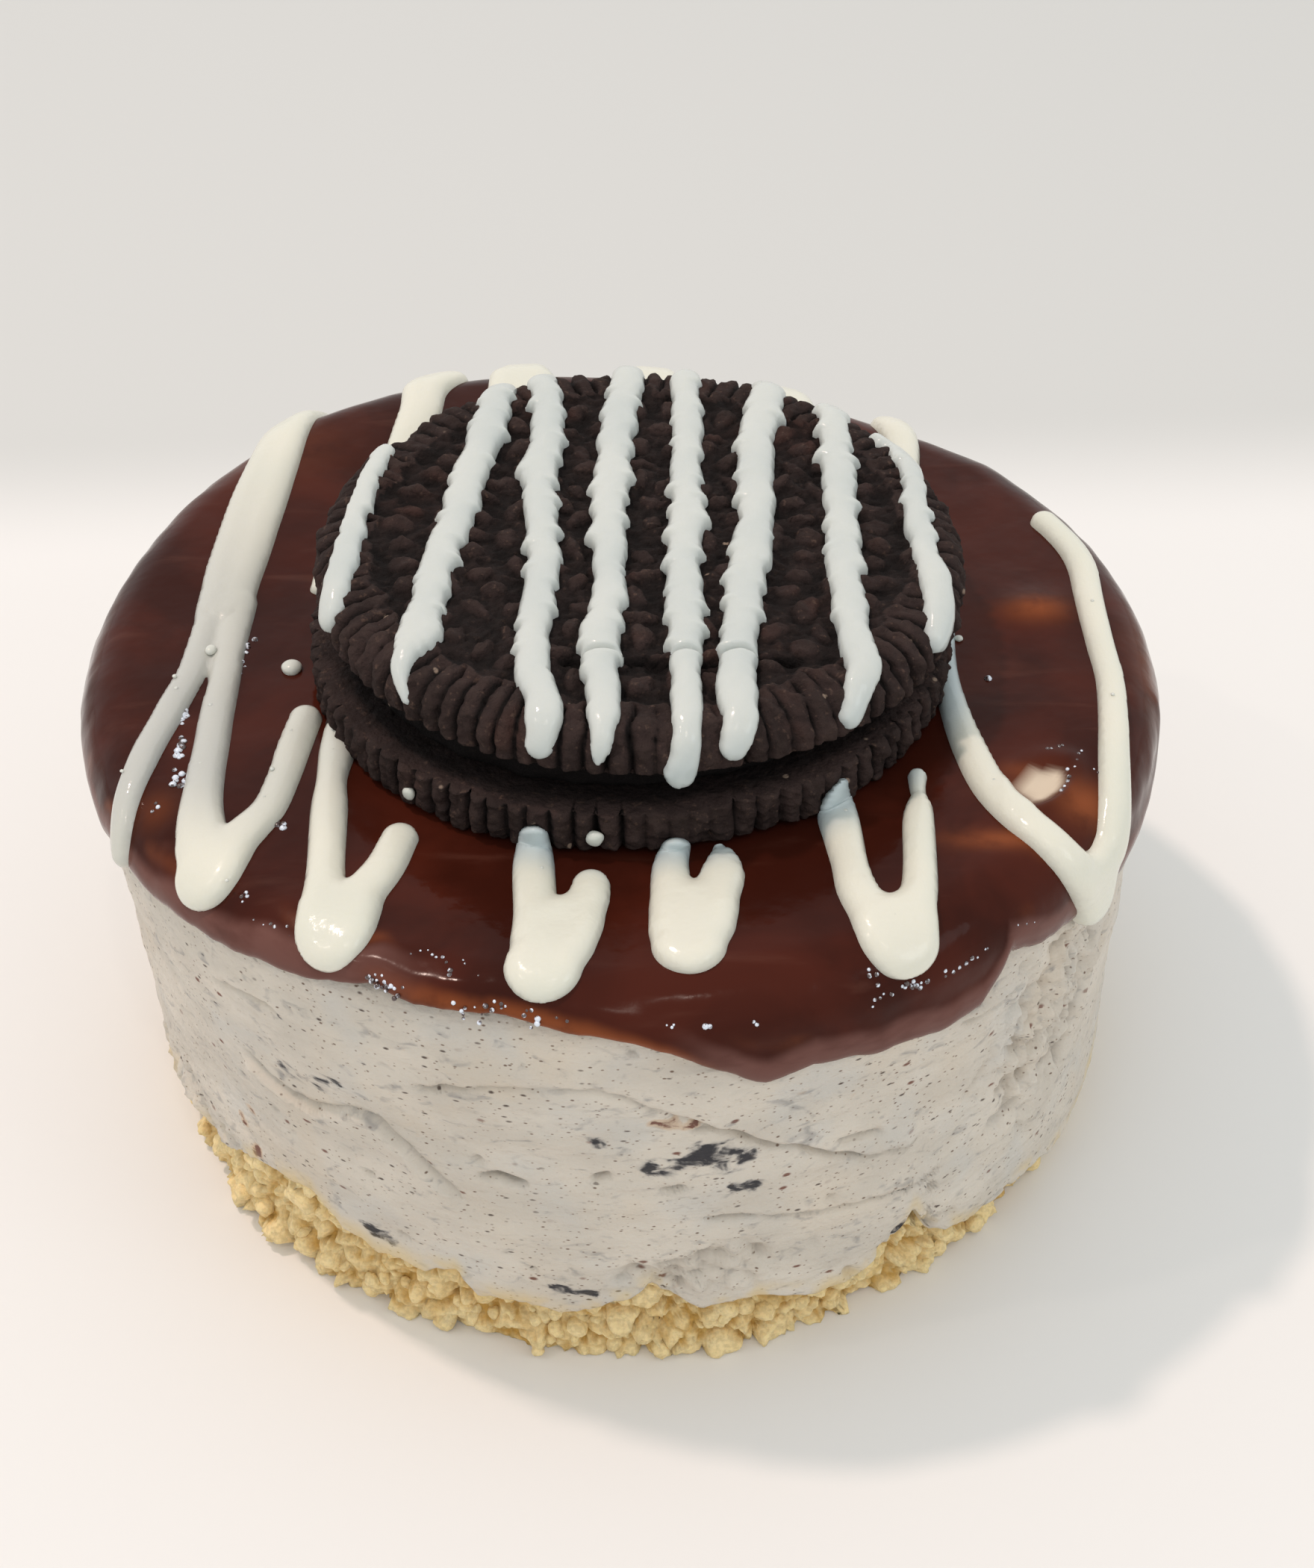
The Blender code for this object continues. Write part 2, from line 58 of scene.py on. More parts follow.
# Points round each turned piece, and rows down the walls and over the coat
CHEESE_COLUMNS = 806
CHEESE_ROWS = 104
CRUMB_COLUMNS = 900
CRUMB_ROWS = 44
COAT_COLUMNS = 760
COAT_FLAT_ROWS = 34
COAT_RIM_ROWS = 61
COLUMNS_PER_TOOTH = 8
UPPER_RINGS, UPPER_SIDE_ROWS = 98, 6
LOWER_RINGS, LOWER_SIDE_ROWS = 30, 16
FILLING_COLUMNS = 360

# Cheesecake and crumb base
WALL_RADIUS = 37.1
CHEESE_TOP = 34.4
CHEESE_BOTTOM = 7.3
SHOULDER = 3.0
TOP_RADII = (16.0, 22.0, 26.0, 30.0)
CRUMB_RADIUS = 35.2
CRUMB_LIMIT = 37.2

# Chocolate coat: flat on top, bent over the rim, then down the wall
COAT_TOP = 36.1
COAT_FLAT = 34.1
COAT_ROUND = 4.0
COAT_THICKNESS = 1.2
BUMP_CENTRE = (29.6, 2.9)
CRATER_CENTRE = (27.9, -17.4)
CRATER_AXIS = (0.58, 0.81)

# Sandwich cookie
COOKIE_RADIUS = 22.5
COOKIE_TEETH = 92
WAFER_THICKNESS = 3.2
WAFER_BEVEL = 2.2
WAFER_FLAT = COOKIE_RADIUS - WAFER_BEVEL
LOWER_BEVEL = 0.7
LOWER_CENTRE = (0.85, -1.4)
LOWER_HEIGHT = 36.1
UPPER_CENTRE = (1.64, -0.62)
UPPER_HEIGHT = 42.5
UPPER_TILT = (-0.031, 0.023)
FILLING_RADIUS = 19.6

# Height of the torn lower edge of the cheesecake at angles round the front
HEM = (
    (-90.0, 6.6), (-75.0, 6.4), (-66.0, 7.2), (-59.0, 6.8), (-53.0, 7.6), (-45.0, 10.8), (-37.0, 11.3),
    (-33.0, 9.0), (-29.0, 8.3), (-24.0, 8.0), (-19.0, 9.1), (-17.0, 7.0), (-12.0, 7.0), (-8.0, 6.2),
    (-3.5, 7.3), (2.0, 9.1), (7.0, 6.7), (13.0, 7.0), (18.0, 5.6), (24.0, 5.4), (27.0, 6.7), (31.0, 10.2),
    (34.0, 6.6), (39.0, 5.0), (50.0, 5.1), (59.0, 2.9), (70.0, 4.6), (90.0, 6.2),
)

# How far the coat runs along its surface at angles round the front; its sags elsewhere are given
# as (angle, extra run, half width)
COAT_EDGE = (
    (-63.5, 41.3), (-55.0, 41.0), (-48.5, 40.2), (-44.5, 39.9), (-37.6, 39.3), (-30.7, 38.6),
    (-25.3, 37.6), (-20.5, 38.3), (-11.3, 37.8), (0.2, 39.5), (5.2, 40.9), (11.2, 43.7), (13.5, 44.4),
    (18.0, 43.7), (25.0, 44.4), (32.0, 45.0), (37.0, 44.9), (39.6, 42.8), (40.6, 41.2), (43.0, 42.0),
    (46.0, 42.9), (52.0, 43.6), (58.0, 44.2),
)
COAT_REACH = 37.8
COAT_SAGS = (
    (-78.0, 4.2, 30.0), (62.0, 6.6, 20.0), (96.0, 4.4, 17.0), (127.0, 6.0, 17.0), (160.0, 3.4, 16.0),
    (191.0, 5.6, 18.0), (222.0, 3.6, 15.0), (250.0, 5.0, 16.0),
)

# How far the top stands out sideways and upwards of a true circle: (angle, outwards, upwards)
LEAN = (
    (-163.0, 2.3, 1.4), (-152.0, 2.6, 1.75), (-141.0, 3.0, 1.7), (-132.0, 2.85, 1.3), (-119.0, 2.5, 0.9),
    (-104.0, 1.7, 0.5), (-90.0, 1.1, 0.2), (-76.0, 0.5, 0.0), (-62.0, 0.1, 0.0), (-50.0, 0.0, 0.0),
    (50.0, 0.0, 0.0), (60.0, 0.3, 0.0), (72.0, 0.5, 0.0), (85.0, 0.6, 0.0), (96.0, 0.8, 0.0),
    (110.0, 0.9, 0.0), (123.0, 1.1, 0.0), (129.0, 1.3, 0.0), (133.0, 1.0, 0.0), (139.0, 0.6, 0.0),
    (145.0, 0.3, 0.0), (160.0, 0.5, 0.3), (180.0, 1.1, 0.9),
)
LEAN_START = 22.0

# Folds and slits of the wall: (angle, height) points, depth, half width, how far the upper side
# stands proud of the lower one
FOLDS = (
    (((-17.8, 27.2), (-13.0, 28.1), (-7.4, 28.4), (-3.2, 28.5), (-0.6, 28.0), (1.8, 26.8), (4.7, 25.7),
      (7.5, 24.7), (9.6, 23.6)), 0.20, 0.22, 0.14),
    (((7.5, 24.7), (9.6, 23.9), (11.5, 23.1), (14.0, 21.8), (17.0, 21.0), (19.4, 20.0), (24.3, 18.2),
      (30.0, 17.1)), 0.42, 0.30, 0.45),
    (((-15.1, 19.4), (-13.2, 19.7), (-10.8, 19.1)), 0.75, 0.30, 0.10),
    (((-3.7, 20.1), (-2.2, 20.4)), 0.60, 0.26, 0.08),
    (((3.3, 18.9), (5.2, 19.2)), 0.55, 0.22, 0.05),
    (((7.5, 15.7), (9.6, 15.7), (12.5, 15.2)), 0.50, 0.20, 0.14),
    (((13.1, 15.1), (16.8, 14.6), (22.8, 13.9), (30.0, 12.9), (34.0, 13.2)), 0.34, 0.26, 0.30),
    (((21.4, 20.5), (23.4, 20.5), (26.0, 19.9)), 0.45, 0.18, 0.10),
    (((-44.0, 21.8), (-41.0, 21.3), (-37.7, 20.9), (-34.9, 20.8), (-31.8, 21.5), (-29.1, 22.3),
      (-26.3, 22.4), (-24.6, 21.3), (-22.8, 20.5), (-20.8, 19.0), (-18.1, 17.3)), 0.22, 0.30, -0.50),
    (((-46.4, 27.9), (-41.9, 28.7), (-38.4, 29.0), (-37.1, 28.7)), 0.28, 0.20, 0.14),
    (((-20.8, 26.8), (-18.0, 27.4), (-16.2, 27.6)), 0.40, 0.22, 0.12),
    (((36.0, 26.6), (41.0, 26.2), (47.0, 27.4)), 0.35, 0.30, 0.30),
    (((44.0, 21.5), (47.0, 20.0), (47.5, 17.5), (45.5, 15.0)), 0.55, 0.34, 0.20),
    (((98.0, 24.0), (112.0, 22.2), (128.0, 23.6)), 0.40, 0.28, 0.35),
    (((140.0, 15.0), (156.0, 14.2), (171.0, 15.8)), 0.34, 0.24, 0.25),
    (((186.0, 24.8), (204.0, 26.0), (219.0, 23.2)), 0.40, 0.28, -0.35),
    (((228.0, 17.0), (244.0, 15.6), (262.0, 17.4)), 0.36, 0.26, 0.28),
)

# Dark cookie pieces in the wall: (angle, height) points, half width, strength
CHUNKS = (
    (((1.8, 20.9), (4.0, 21.0), (6.5, 21.5), (8.4, 21.9), (11.8, 21.3)), 1.20, 1.00),
    (((6.6, 21.7), (9.4, 21.7)), 1.95, 0.95),
    (((10.2, 18.7), (12.2, 18.5)), 0.70, 0.95),
    (((-8.5, 9.1), (-6.6, 8.8), (-5.0, 8.6)), 0.80, 1.00),
    (((-3.8, 23.7), (-1.4, 23.7)), 1.10, 0.42),
    (((-37.2, 22.9), (-32.9, 24.0), (-30.4, 24.4)), 1.50, 0.52),
    (((-33.4, 24.0), (-32.0, 24.2)), 0.80, 0.85),
    (((-29.6, 10.3), (-27.0, 10.0)), 0.75, 1.00),
    (((28.6, 8.7), (30.2, 9.1)), 1.00, 1.00),
    (((-37.2, 28.6), (-36.6, 28.4)), 0.40, 0.80),
    (((103.0, 18.6), (107.0, 19.2)), 1.10, 0.95),
    (((134.0, 11.6), (137.0, 11.9)), 0.90, 0.90),
    (((151.0, 24.4), (157.0, 23.6)), 1.10, 0.70),
    (((178.0, 13.6), (183.0, 13.0)), 1.15, 1.00),
    (((212.0, 19.8), (215.0, 20.1)), 0.90, 0.95),
    (((240.0, 25.2), (246.0, 24.6)), 1.20, 0.60),
    (((266.0, 12.2), (269.0, 12.5)), 0.90, 0.95),
    (((82.0, 13.4), (84.0, 13.2)), 0.80, 0.85),
)

# Reddish brown spots in the wall: (angle, height) points, half width, strength
SPOTS = (
    (((2.9, 25.1), (4.6, 25.1)), 0.75, 0.75),
    (((5.6, 24.9), (6.6, 24.9)), 0.60, 0.75),
    (((-45.9, 11.4), (-45.2, 11.7)), 0.80, 1.00),
    (((-46.4, 15.8), (-46.0, 15.5)), 0.60, 0.80),
    (((-47.5, 13.9), (-47.2, 13.7)), 0.55, 0.80),
    (((120.0, 20.0), (121.0, 20.2)), 0.80, 0.80),
    (((196.0, 17.0), (197.0, 17.0)), 0.80, 0.80),
    (((253.0, 20.0), (254.0, 20.2)), 0.80, 0.80),
)

# Torn and pitted places of the wall: angle, height, half angle, half height, strength
TORN_PLACES = (
    (8.0, 10.4, 12.0, 2.4, 0.8), (52.0, 21.0, 14.0, 9.0, 1.0), (38.0, 29.5, 7.0, 2.0, 0.5),
    (31.0, 7.6, 6.0, 2.6, 1.0), (-62.0, 9.0, 16.0, 3.4, 0.7), (214.0, 12.0, 18.0, 5.0, 0.7),
    (128.0, 12.0, 14.0, 4.0, 0.6),
)

# Places where the coat is thin: x, y, half sizes along x and y, strength
THIN_PLACES = (
    (29.8, 2.2, 2.0, 1.4, 0.85), (30.6, -19.1, 2.0, 1.8, 0.85), (24.6, -23.1, 3.2, 0.9, 0.8),
    (28.3, -23.6, 2.0, 0.8, 0.6), (26.3, -16.2, 1.0, 1.0, 0.5), (-31.0, -17.4, 1.5, 1.6, 0.30),
    (27.6, -17.6, 2.4, 2.0, 0.45), (38.0, -3.0, 2.0, 6.0, 0.35), (-26.0, 24.0, 5.0, 4.0, 0.25),
)

# Hairpins and strokes of icing on the coat, each with the keys (x, y, width) of its strokes as
# laid out with the rim unrolled flat; the ones at the back are guessed
ICING_FRONT = (
    (((-24.2, 31.6, 4.0), (-24.6, 27.6, 3.9), (-25.1, 22.8, 3.8), (-25.7, 19.6, 3.8), (-26.8, 14.1, 3.7),
      (-27.9, 8.3, 3.6), (-28.3, 4.2, 3.4)),
     ((-28.8, 5.6, 2.1), (-29.2, 2.4, 2.0), (-29.6, -0.6, 1.95), (-30.0, -3.3, 1.95), (-31.0, -7.1, 2.1),
      (-31.9, -10.6, 2.1), (-32.6, -13.6, 2.1), (-33.3, -15.9, 2.1),
      (-34.0, -17.7, 2.1), (-34.8, -19.0, 2.1)),
     ((-27.4, 5.6, 2.2), (-27.6, 2.4, 2.2), (-27.7, -0.6, 2.05), (-27.7, -3.5, 2.05), (-27.9, -7.4, 2.3),
      (-27.9, -11.0, 2.4), (-28.0, -14.4, 2.6), (-27.9, -18.0, 3.0), (-27.4, -21.4, 3.6)),
     ((-21.9, -8.4, 2.3), (-22.4, -11.9, 2.4), (-22.8, -15.1, 2.3), (-23.5, -18.4, 2.4), (-25.2, -21.5, 3.0),
      (-26.0, -23.4, 3.2)),
     ((-26.6, -22.8, 4.5), (-26.9, -24.2, 4.7))),
    (((-19.4, -9.3, 2.1), (-19.4, -12.0, 2.5), (-19.5, -15.2, 2.1), (-19.4, -18.3, 2.5), (-19.1, -24.3, 2.5),
      (-18.9, -27.2, 3.0), (-18.8, -29.6, 3.3)),
     ((-14.5, -21.6, 2.5), (-15.3, -24.5, 2.7), (-16.7, -27.4, 3.0), (-17.2, -29.6, 3.2)),
     ((-17.8, -28.4, 4.8), (-18.1, -30.5, 4.7))),
    (((-5.7, -21.4, 2.0), (-5.7, -24.4, 2.7), (-5.5, -28.5, 2.8), (-5.3, -31.2, 3.1)),
     ((-2.0, -26.7, 2.5), (-2.2, -28.0, 2.8), (-2.9, -30.2, 3.1), (-3.5, -32.2, 3.2)),
     ((-3.9, -30.4, 4.9), (-4.9, -34.1, 4.9))),
    (((3.5, -23.0, 1.9), (3.1, -25.2, 2.4), (3.2, -28.2, 2.9), (3.3, -30.8, 3.1)),
     ((6.3, -23.5, 0.9), (6.5, -24.5, 1.9), (6.4, -26.0, 2.9), (5.9, -28.2, 3.0),
      (5.4, -30.6, 3.1)),
     ((4.5, -29.4, 4.9), (4.1, -32.5, 4.7))),
    (((14.6, -16.9, 0.9), (14.3, -18.4, 1.9), (14.2, -20.3, 2.7), (14.4, -22.8, 2.6), (14.6, -25.2, 2.4),
      (14.9, -27.8, 2.7), (15.6, -30.0, 2.9), (16.2, -31.6, 3.2)),
     ((19.8, -16.6, 1.3), (19.7, -17.6, 1.1), (19.7, -18.5, 1.0), (19.6, -19.8, 1.8), (19.4, -21.4, 2.1),
      (19.1, -25.4, 2.2), (18.8, -27.8, 2.4), (18.2, -30.0, 3.0), (18.0, -31.8, 3.3)),
     ((17.1, -31.0, 4.8), (17.3, -32.1, 4.7))),
    (((23.6, 3.0, 1.7), (23.0, -3.3, 1.7), (23.0, -8.2, 1.9), (23.5, -13.5, 2.3), (24.5, -18.0, 2.5),
      (26.2, -21.4, 2.6), (27.9, -23.2, 2.7), (29.8, -24.2, 2.9), (32.4, -24.6, 3.3)),
     ((31.7, 13.4, 2.1), (32.5, 11.8, 2.1), (33.3, 9.6, 2.2), (33.7, 7.0, 2.2), (33.6, 3.3, 2.1),
      (33.7, -1.2, 2.0), (33.8, -6.2, 2.0), (33.4, -10.7, 2.1), (33.0, -14.7, 2.3), (32.9, -18.0, 2.6),
      (33.2, -21.4, 3.2)),
     ((33.2, -23.6, 4.6), (34.6, -24.6, 4.4))),
)
ICING_BACK = (
    (((-13.4, 34.4, 3.4), (-14.7, 31.4, 3.4), (-15.0, 28.0, 3.0), (-16.6, 22.4, 2.4), (-18.8, 17.2, 2.2),
      (-21.4, 11.6, 1.8), (-22.3, 7.6, 1.3)),),
    (((23.6, 4.0, 1.7), (23.2, 8.0, 2.0), (22.4, 14.0, 2.2), (21.9, 20.0, 2.4), (22.4, 25.4, 2.6),
      (22.0, 29.6, 3.0)),),
    (((-9.6, 22.8, 1.6), (-9.4, 26.0, 2.3), (-8.7, 31.0, 2.7), (-8.5, 33.4, 2.9)),
     ((-4.5, 24.0, 1.5), (-4.9, 27.6, 2.3), (-5.9, 31.0, 2.7), (-6.4, 33.4, 2.9)),
     ((-7.2, 32.4, 4.5), (-7.4, 35.4, 4.4))),
    (((0.4, 23.6, 1.6), (0.6, 27.4, 2.4), (1.4, 31.6, 2.7), (1.9, 34.4, 2.9)),
     ((5.3, 23.8, 1.4), (5.0, 27.4, 2.2), (4.2, 31.6, 2.6), (3.7, 34.4, 2.8)),
     ((2.8, 33.0, 4.6), (2.9, 36.4, 4.4))),
    (((10.8, 21.8, 1.6), (11.2, 25.4, 2.3), (12.1, 30.0, 2.7), (12.4, 32.6, 2.9)),
     ((15.8, 18.9, 1.5), (15.7, 23.6, 2.2), (14.9, 29.0, 2.7), (14.2, 32.0, 2.9)),
     ((13.4, 31.0, 4.7), (13.2, 34.0, 4.4))),
)

# Stripes of icing on the upper wafer, from back to front, about the wafer's own centre
ICING_STRIPES = (
    ((-18.5, 10.6, 1.5), (-18.9, 8.3, 1.7), (-19.7, 2.6, 1.7), (-20.1, -2.5, 1.9), (-20.7, -6.6, 2.2),
     (-21.4, -8.1, 2.1)),
    ((-10.1, 19.8, 2.3), (-10.3, 18.2, 2.4), (-10.9, 13.8, 2.7), (-12.0, 8.1, 2.5), (-12.6, 2.6, 2.7),
     (-13.7, -2.7, 2.4), (-14.2, -7.6, 2.5), (-14.6, -11.5, 3.0), (-15.5, -14.3, 1.6), (-15.8, -17.0, 0.7)),
    ((-7.0, 20.4, 2.4), (-6.6, 13.8, 2.6), (-7.1, 8.0, 2.7), (-6.9, 2.6, 2.4), (-6.6, -2.7, 2.4),
     (-6.9, -7.7, 2.3), (-7.1, -12.4, 2.3), (-7.0, -16.1, 2.3), (-6.3, -19.2, 2.3), (-6.8, -21.9, 2.0)),
    ((-0.5, 21.4, 2.4), (-1.4, 13.8, 2.8), (-1.8, 8.0, 2.6), (-2.1, 2.5, 2.6), (-2.1, -2.7, 2.4),
     (-2.2, -7.7, 2.5), (-2.8, -12.4, 2.9), (-2.6, -17.0, 2.3), (-2.6, -21.0, 1.8), (-2.9, -23.2, 0.8)),
    ((3.7, 21.0, 2.3), (3.7, 13.8, 2.4), (3.4, 8.0, 2.3), (3.4, 2.5, 2.6), (3.0, -2.7, 2.5),
     (3.0, -7.7, 2.6), (2.9, -12.5, 2.5), (2.8, -17.0, 2.2), (2.8, -21.0, 2.0), (2.5, -24.3, 2.2)),
    ((10.2, 19.8, 2.6), (9.0, 13.8, 2.8), (8.4, 8.0, 2.8), (8.3, 2.5, 2.8), (7.6, -2.7, 2.9),
     (6.9, -7.7, 2.7), (6.4, -12.5, 2.5), (6.1, -17.1, 2.7), (6.2, -20.7, 2.1), (5.9, -22.2, 1.8)),
    ((14.4, 16.4, 2.2), (14.5, 13.9, 2.3), (14.4, 8.0, 2.6), (14.3, 2.5, 2.4), (14.0, -2.7, 2.5),
     (14.0, -7.7, 2.4), (14.1, -12.5, 2.4), (14.3, -14.9, 2.4), (14.1, -17.2, 2.0), (13.8, -18.8, 1.9)),
    ((18.0, 12.8, 1.5), (18.9, 11.4, 1.7), (19.8, 8.2, 1.8), (19.6, 2.5, 2.0), (19.7, -2.7, 2.0),
     (20.1, -7.1, 2.3), (20.2, -10.8, 2.2)),
)

# Chains of bubbles in the coat: from (x, y) to (x, y), count, scatter, largest radius
BUBBLE_CHAINS = (
    ((14.9, -33.9), (16.2, -34.9), 4, 0.15, 0.22), ((16.0, -36.3), (17.3, -35.2), 6, 0.30, 0.20),
    ((17.3, -35.2), (19.6, -34.0), 14, 0.35, 0.24), ((20.5, -34.0), (24.3, -31.2), 9, 0.12, 0.24),
    ((25.5, -29.7), (28.2, -28.4), 8, 0.12, 0.17), ((-10.8, -35.0), (-7.0, -35.6), 16, 0.45, 0.26),
    ((-5.9, -37.2), (-3.6, -37.2), 16, 0.55, 0.26), ((1.5, -38.5), (3.3, -38.1), 7, 0.10, 0.20),
    ((4.8, -38.2), (5.5, -38.0), 2, 0.05, 0.26), ((8.0, -38.0), (8.3, -38.0), 2, 0.10, 0.24),
    ((-16.9, -32.9), (-14.1, -34.5), 9, 0.20, 0.25), ((-11.6, -35.1), (-9.8, -35.5), 6, 0.25, 0.25),
    ((-24.2, -28.2), (-21.0, -29.8), 9, 0.35, 0.22), ((-25.0, -26.4), (-23.3, -26.5), 4, 0.25, 0.20),
    ((28.3, -14.1), (29.9, -13.4), 4, 0.08, 0.22), ((30.8, -14.0), (28.8, -18.5), 9, 0.18, 0.26),
    ((31.6, -16.1), (32.4, -16.1), 5, 0.30, 0.20), ((-30.1, -5.4), (-30.1, -8.4), 16, 0.16, 0.44),
    ((-30.0, -10.0), (-29.9, -12.4), 12, 0.16, 0.42),
    ((-29.9, -13.8), (-29.7, -15.6), 8, 0.16, 0.42), ((-26.4, 1.4), (-27.0, -4.4), 12, 0.16, 0.36),
    ((-28.9, -0.5), (-28.9, -0.6), 1, 0.02, 0.62), ((-22.7, -19.3), (-22.3, -20.2), 5, 0.2, 0.34),
    ((-31.4, -17.4), (-30.9, -17.0), 3, 0.20, 0.26), ((25.6, -5.7), (25.8, -5.7), 1, 0.02, 0.42),
    ((31.0, -27.4), (31.2, -27.4), 2, 0.30, 0.22), ((-3.6, 37.6), (3.4, 37.8), 12, 0.30, 0.24),
    ((21.0, 31.6), (26.0, 27.4), 9, 0.30, 0.22), ((-15.6, -33.6), (-13.0, -34.9), 14, 0.35, 0.22),
    ((-10.6, -36.2), (-6.9, -36.6), 18, 0.35, 0.20), ((-13.2, -32.4), (-9.4, -33.4), 9, 0.30, 0.16),
)

# Single drops of icing: x, y, radius, lift; the last LOW_DROPS hang on the lower wafer's side
ICING_DROPS = (
    (-23.4, -2.4, 0.75, 0.1), (24.3, -1.0, 0.3, 0.1), (-28.7, -0.9, 0.44, 0.75),
    (-14.0, -16.7, 0.50, 0.1), (-1.7, -21.9, 0.58, 0.1),
)
LOW_DROPS = 2

# Tiny drops standing on the icing: (x, y) in the layout
ICING_BEADS = (
    (-30.8, -4.1), (-30.6, -5.5), (-28.2, -7.5), (-28.2, -14.1), (-28.2, -17.1), (-23.4, -14.9),
    (-23.6, -17.9), (-22.5, -10.8), (-25.4, -22.3), (-26.2, -25.1), (-25.0, -25.5), (-33.2, -13.8),
    (-19.5, -13.0), (-19.2, -20.0), (-18.0, -28.0), (-5.5, -25.4), (-5.1, -25.8), (-4.6, -30.2),
    (3.2, -26.0), (4.4, -29.8), (14.6, -21.0), (16.8, -30.8), (24.6, -18.2), (33.4, -9.0), (33.6, 2.0),
    (33.1, -22.6),
)

# Plain rings of low bumps on a wafer: ring radius, count, length along the radius, width, height
WAFER_RINGS = (
    (16.6, 46, 2.1, 1.35, 0.55), (14.1, 24, 1.25, 2.7, 0.50), (11.7, 32, 1.9, 1.35, 0.55),
    (9.3, 16, 1.25, 2.7, 0.50), (7.0, 20, 1.8, 1.35, 0.52), (4.7, 9, 1.2, 2.4, 0.48),
    (2.2, 5, 1.5, 1.4, 0.45),
)

# Half width above which icing grows no higher
PLATEAU = 1.35

# How deep icing is sunk, how far its strokes melt into each other and, for a pool, how many times
# further, and the stripes' share of the drizzle's height
DRIZZLE_SINK = 0.35
DRIZZLE_SOFTEN = 0.45
POOL_BLEND = 2.0
STRIPE_SINK = 0.45
STRIPE_RISE = 0.82
BEAD_LIFT = 0.92

# How far apart the teeth of the stripes' ragged edges are
TOOTH_SPACING = 3.1

# Icing pushed forwards by the lower wafer climbs this much for each millimetre, fading out where it
# is between these distances beside the wafer's centre
CLIMB = 0.81
CLIMB_FADE = (16.5, 18.5)

# On the upper wafer: where the crack runs across it and the stripes, a chip, and the angle round it
# where its teeth are worn
CRACK_Y = -14.0
CHIP_CENTRE = (-16.9, 13.4)
WORN_ANGLE = 14.0

# Lights: name, direction, distance, size, power, colour
LIGHTS = (
    ("key", (-0.386, 0.164, 1.0), 0.75, 0.050, 1.66, (1.0, 0.78, 0.68)),
    ("fill_right", (0.85, -0.50, 0.62), 0.80, 0.300, 0.42, (0.90, 0.96, 1.0)),
    ("lamp_left", (-0.75, -0.25, 1.0), 0.70, 0.025, 0.16, (1.0, 0.85, 0.75)),
    ("lamp_front", (0.12, -0.55, 1.0), 0.70, 0.025, 0.16, (1.0, 0.85, 0.75)),
)
SKY = (0.975, 1.0, 1.0, 1.0)
SKY_STRENGTH = 0.83
FLOOR_HALF = 3.0
FLOOR_CHANGE = (0.066, 0.092)
FLOOR_NEAR = (0.835, 0.825, 0.81)
FLOOR_FAR = (0.635, 0.64, 0.625)

# Camera, as fitted to the outlines of the cake
CAMERA_PLACE = (2.391, -142.707, 138.555)
CAMERA_PITCH = 39.077
CAMERA_ROLL = 1.586
CAMERA_LENS = 55.78


def lattice(cells, seed):
    """A random number from 0 to 1 for each whole-number cell: its coordinates, mixed and cut."""
    mixed = cells[..., 0] * 374761393 + cells[..., 1] * 668265263 + cells[..., 2] * 974711 + seed * 1446657
    mixed = (mixed ^ (mixed >> 13)) * 1274126177
    mixed = mixed ^ (mixed >> 16)
    return (mixed & 0xFFFFFF) / float(0xFFFFFF)


def ripple(points, size, seed):
    """Smooth noise from about -1 to 1: each corner of a cube of the given size has a random slope,
    and the eight slopes' heights are blended with smooth weights."""
    scaled = points / size
    base = np.floor(scaled).astype(np.int64)
    inside = scaled - base
    weight = inside * inside * (3.0 - 2.0 * inside)
    total = 0.0
    for corner in itertools.product((0, 1), repeat=3):
        offset = np.array(corner)
        slope = np.stack([lattice(base + offset, seed + k) for k in (1, 2, 3)], -1) * 2.0 - 1.0
        share = np.prod(np.where(offset, weight, 1.0 - weight), axis=-1)
        total = total + share * np.sum(slope * (inside - offset), axis=-1)
    return total * 1.6


def rough(points, size, seed, octaves=3):
    """Ripples of halving size and height, added up."""
    return sum(ripple(points, size / 2.0 ** k, seed + 10 * k) / 2.0 ** k for k in range(octaves))


def grains(points, size, seed):
    """Distance to the nearest and next nearest of randomly placed centres, one in each cube of the
    given size, and the nearest centre's own random number."""
    scaled = points / size
    base = np.floor(scaled).astype(np.int64)
    first = np.full(points.shape[:-1], 9.0)
    second = first.copy()
    own = np.zeros(points.shape[:-1])
    for offset in itertools.product((-1, 0, 1), repeat=3):
        cell = base + np.array(offset)
        centre = cell + np.stack([lattice(cell, seed + k) for k in (1, 2, 3)], -1)
        away = np.linalg.norm(centre - scaled, axis=-1)
        closer = away < first
        second = np.where(closer, first, np.minimum(second, away))
        own = np.where(closer, lattice(cell, seed + 4), own)
        first = np.minimum(first, away)
    return first * size, second * size, own


def between(value, low, high):
    """0 below low, 1 above high, and a smooth step between."""
    share = np.clip((value - low) / (high - low), 0.0, 1.0)
    return share * share * (3.0 - 2.0 * share)


def falling(value, low, high):
    """1 below low, 0 above high, and a smooth step between."""
    return 1.0 - between(value, low, high)


def ring_points(turn, radius, height):
    """Points at an angle in radians, a radius and a height."""
    return np.stack(np.broadcast_arrays(radius * np.sin(turn), -radius * np.cos(turn), height), -1)


def turned_grid(turn, rows):
    """A row of points for each (radius, height), which are values or one value per angle."""
    return np.stack([ring_points(turn, radius, height) for radius, height in rows])


def flat_points(x, y):
    """Points in the plane z = 0."""
    return np.stack([x, y, np.zeros_like(x)], -1)


def wobble(points, size, first_seed):
    """A smooth random shift on each axis, from three seeds in a row."""
    return np.stack([ripple(points, size, first_seed + k) for k in range(3)], -1)


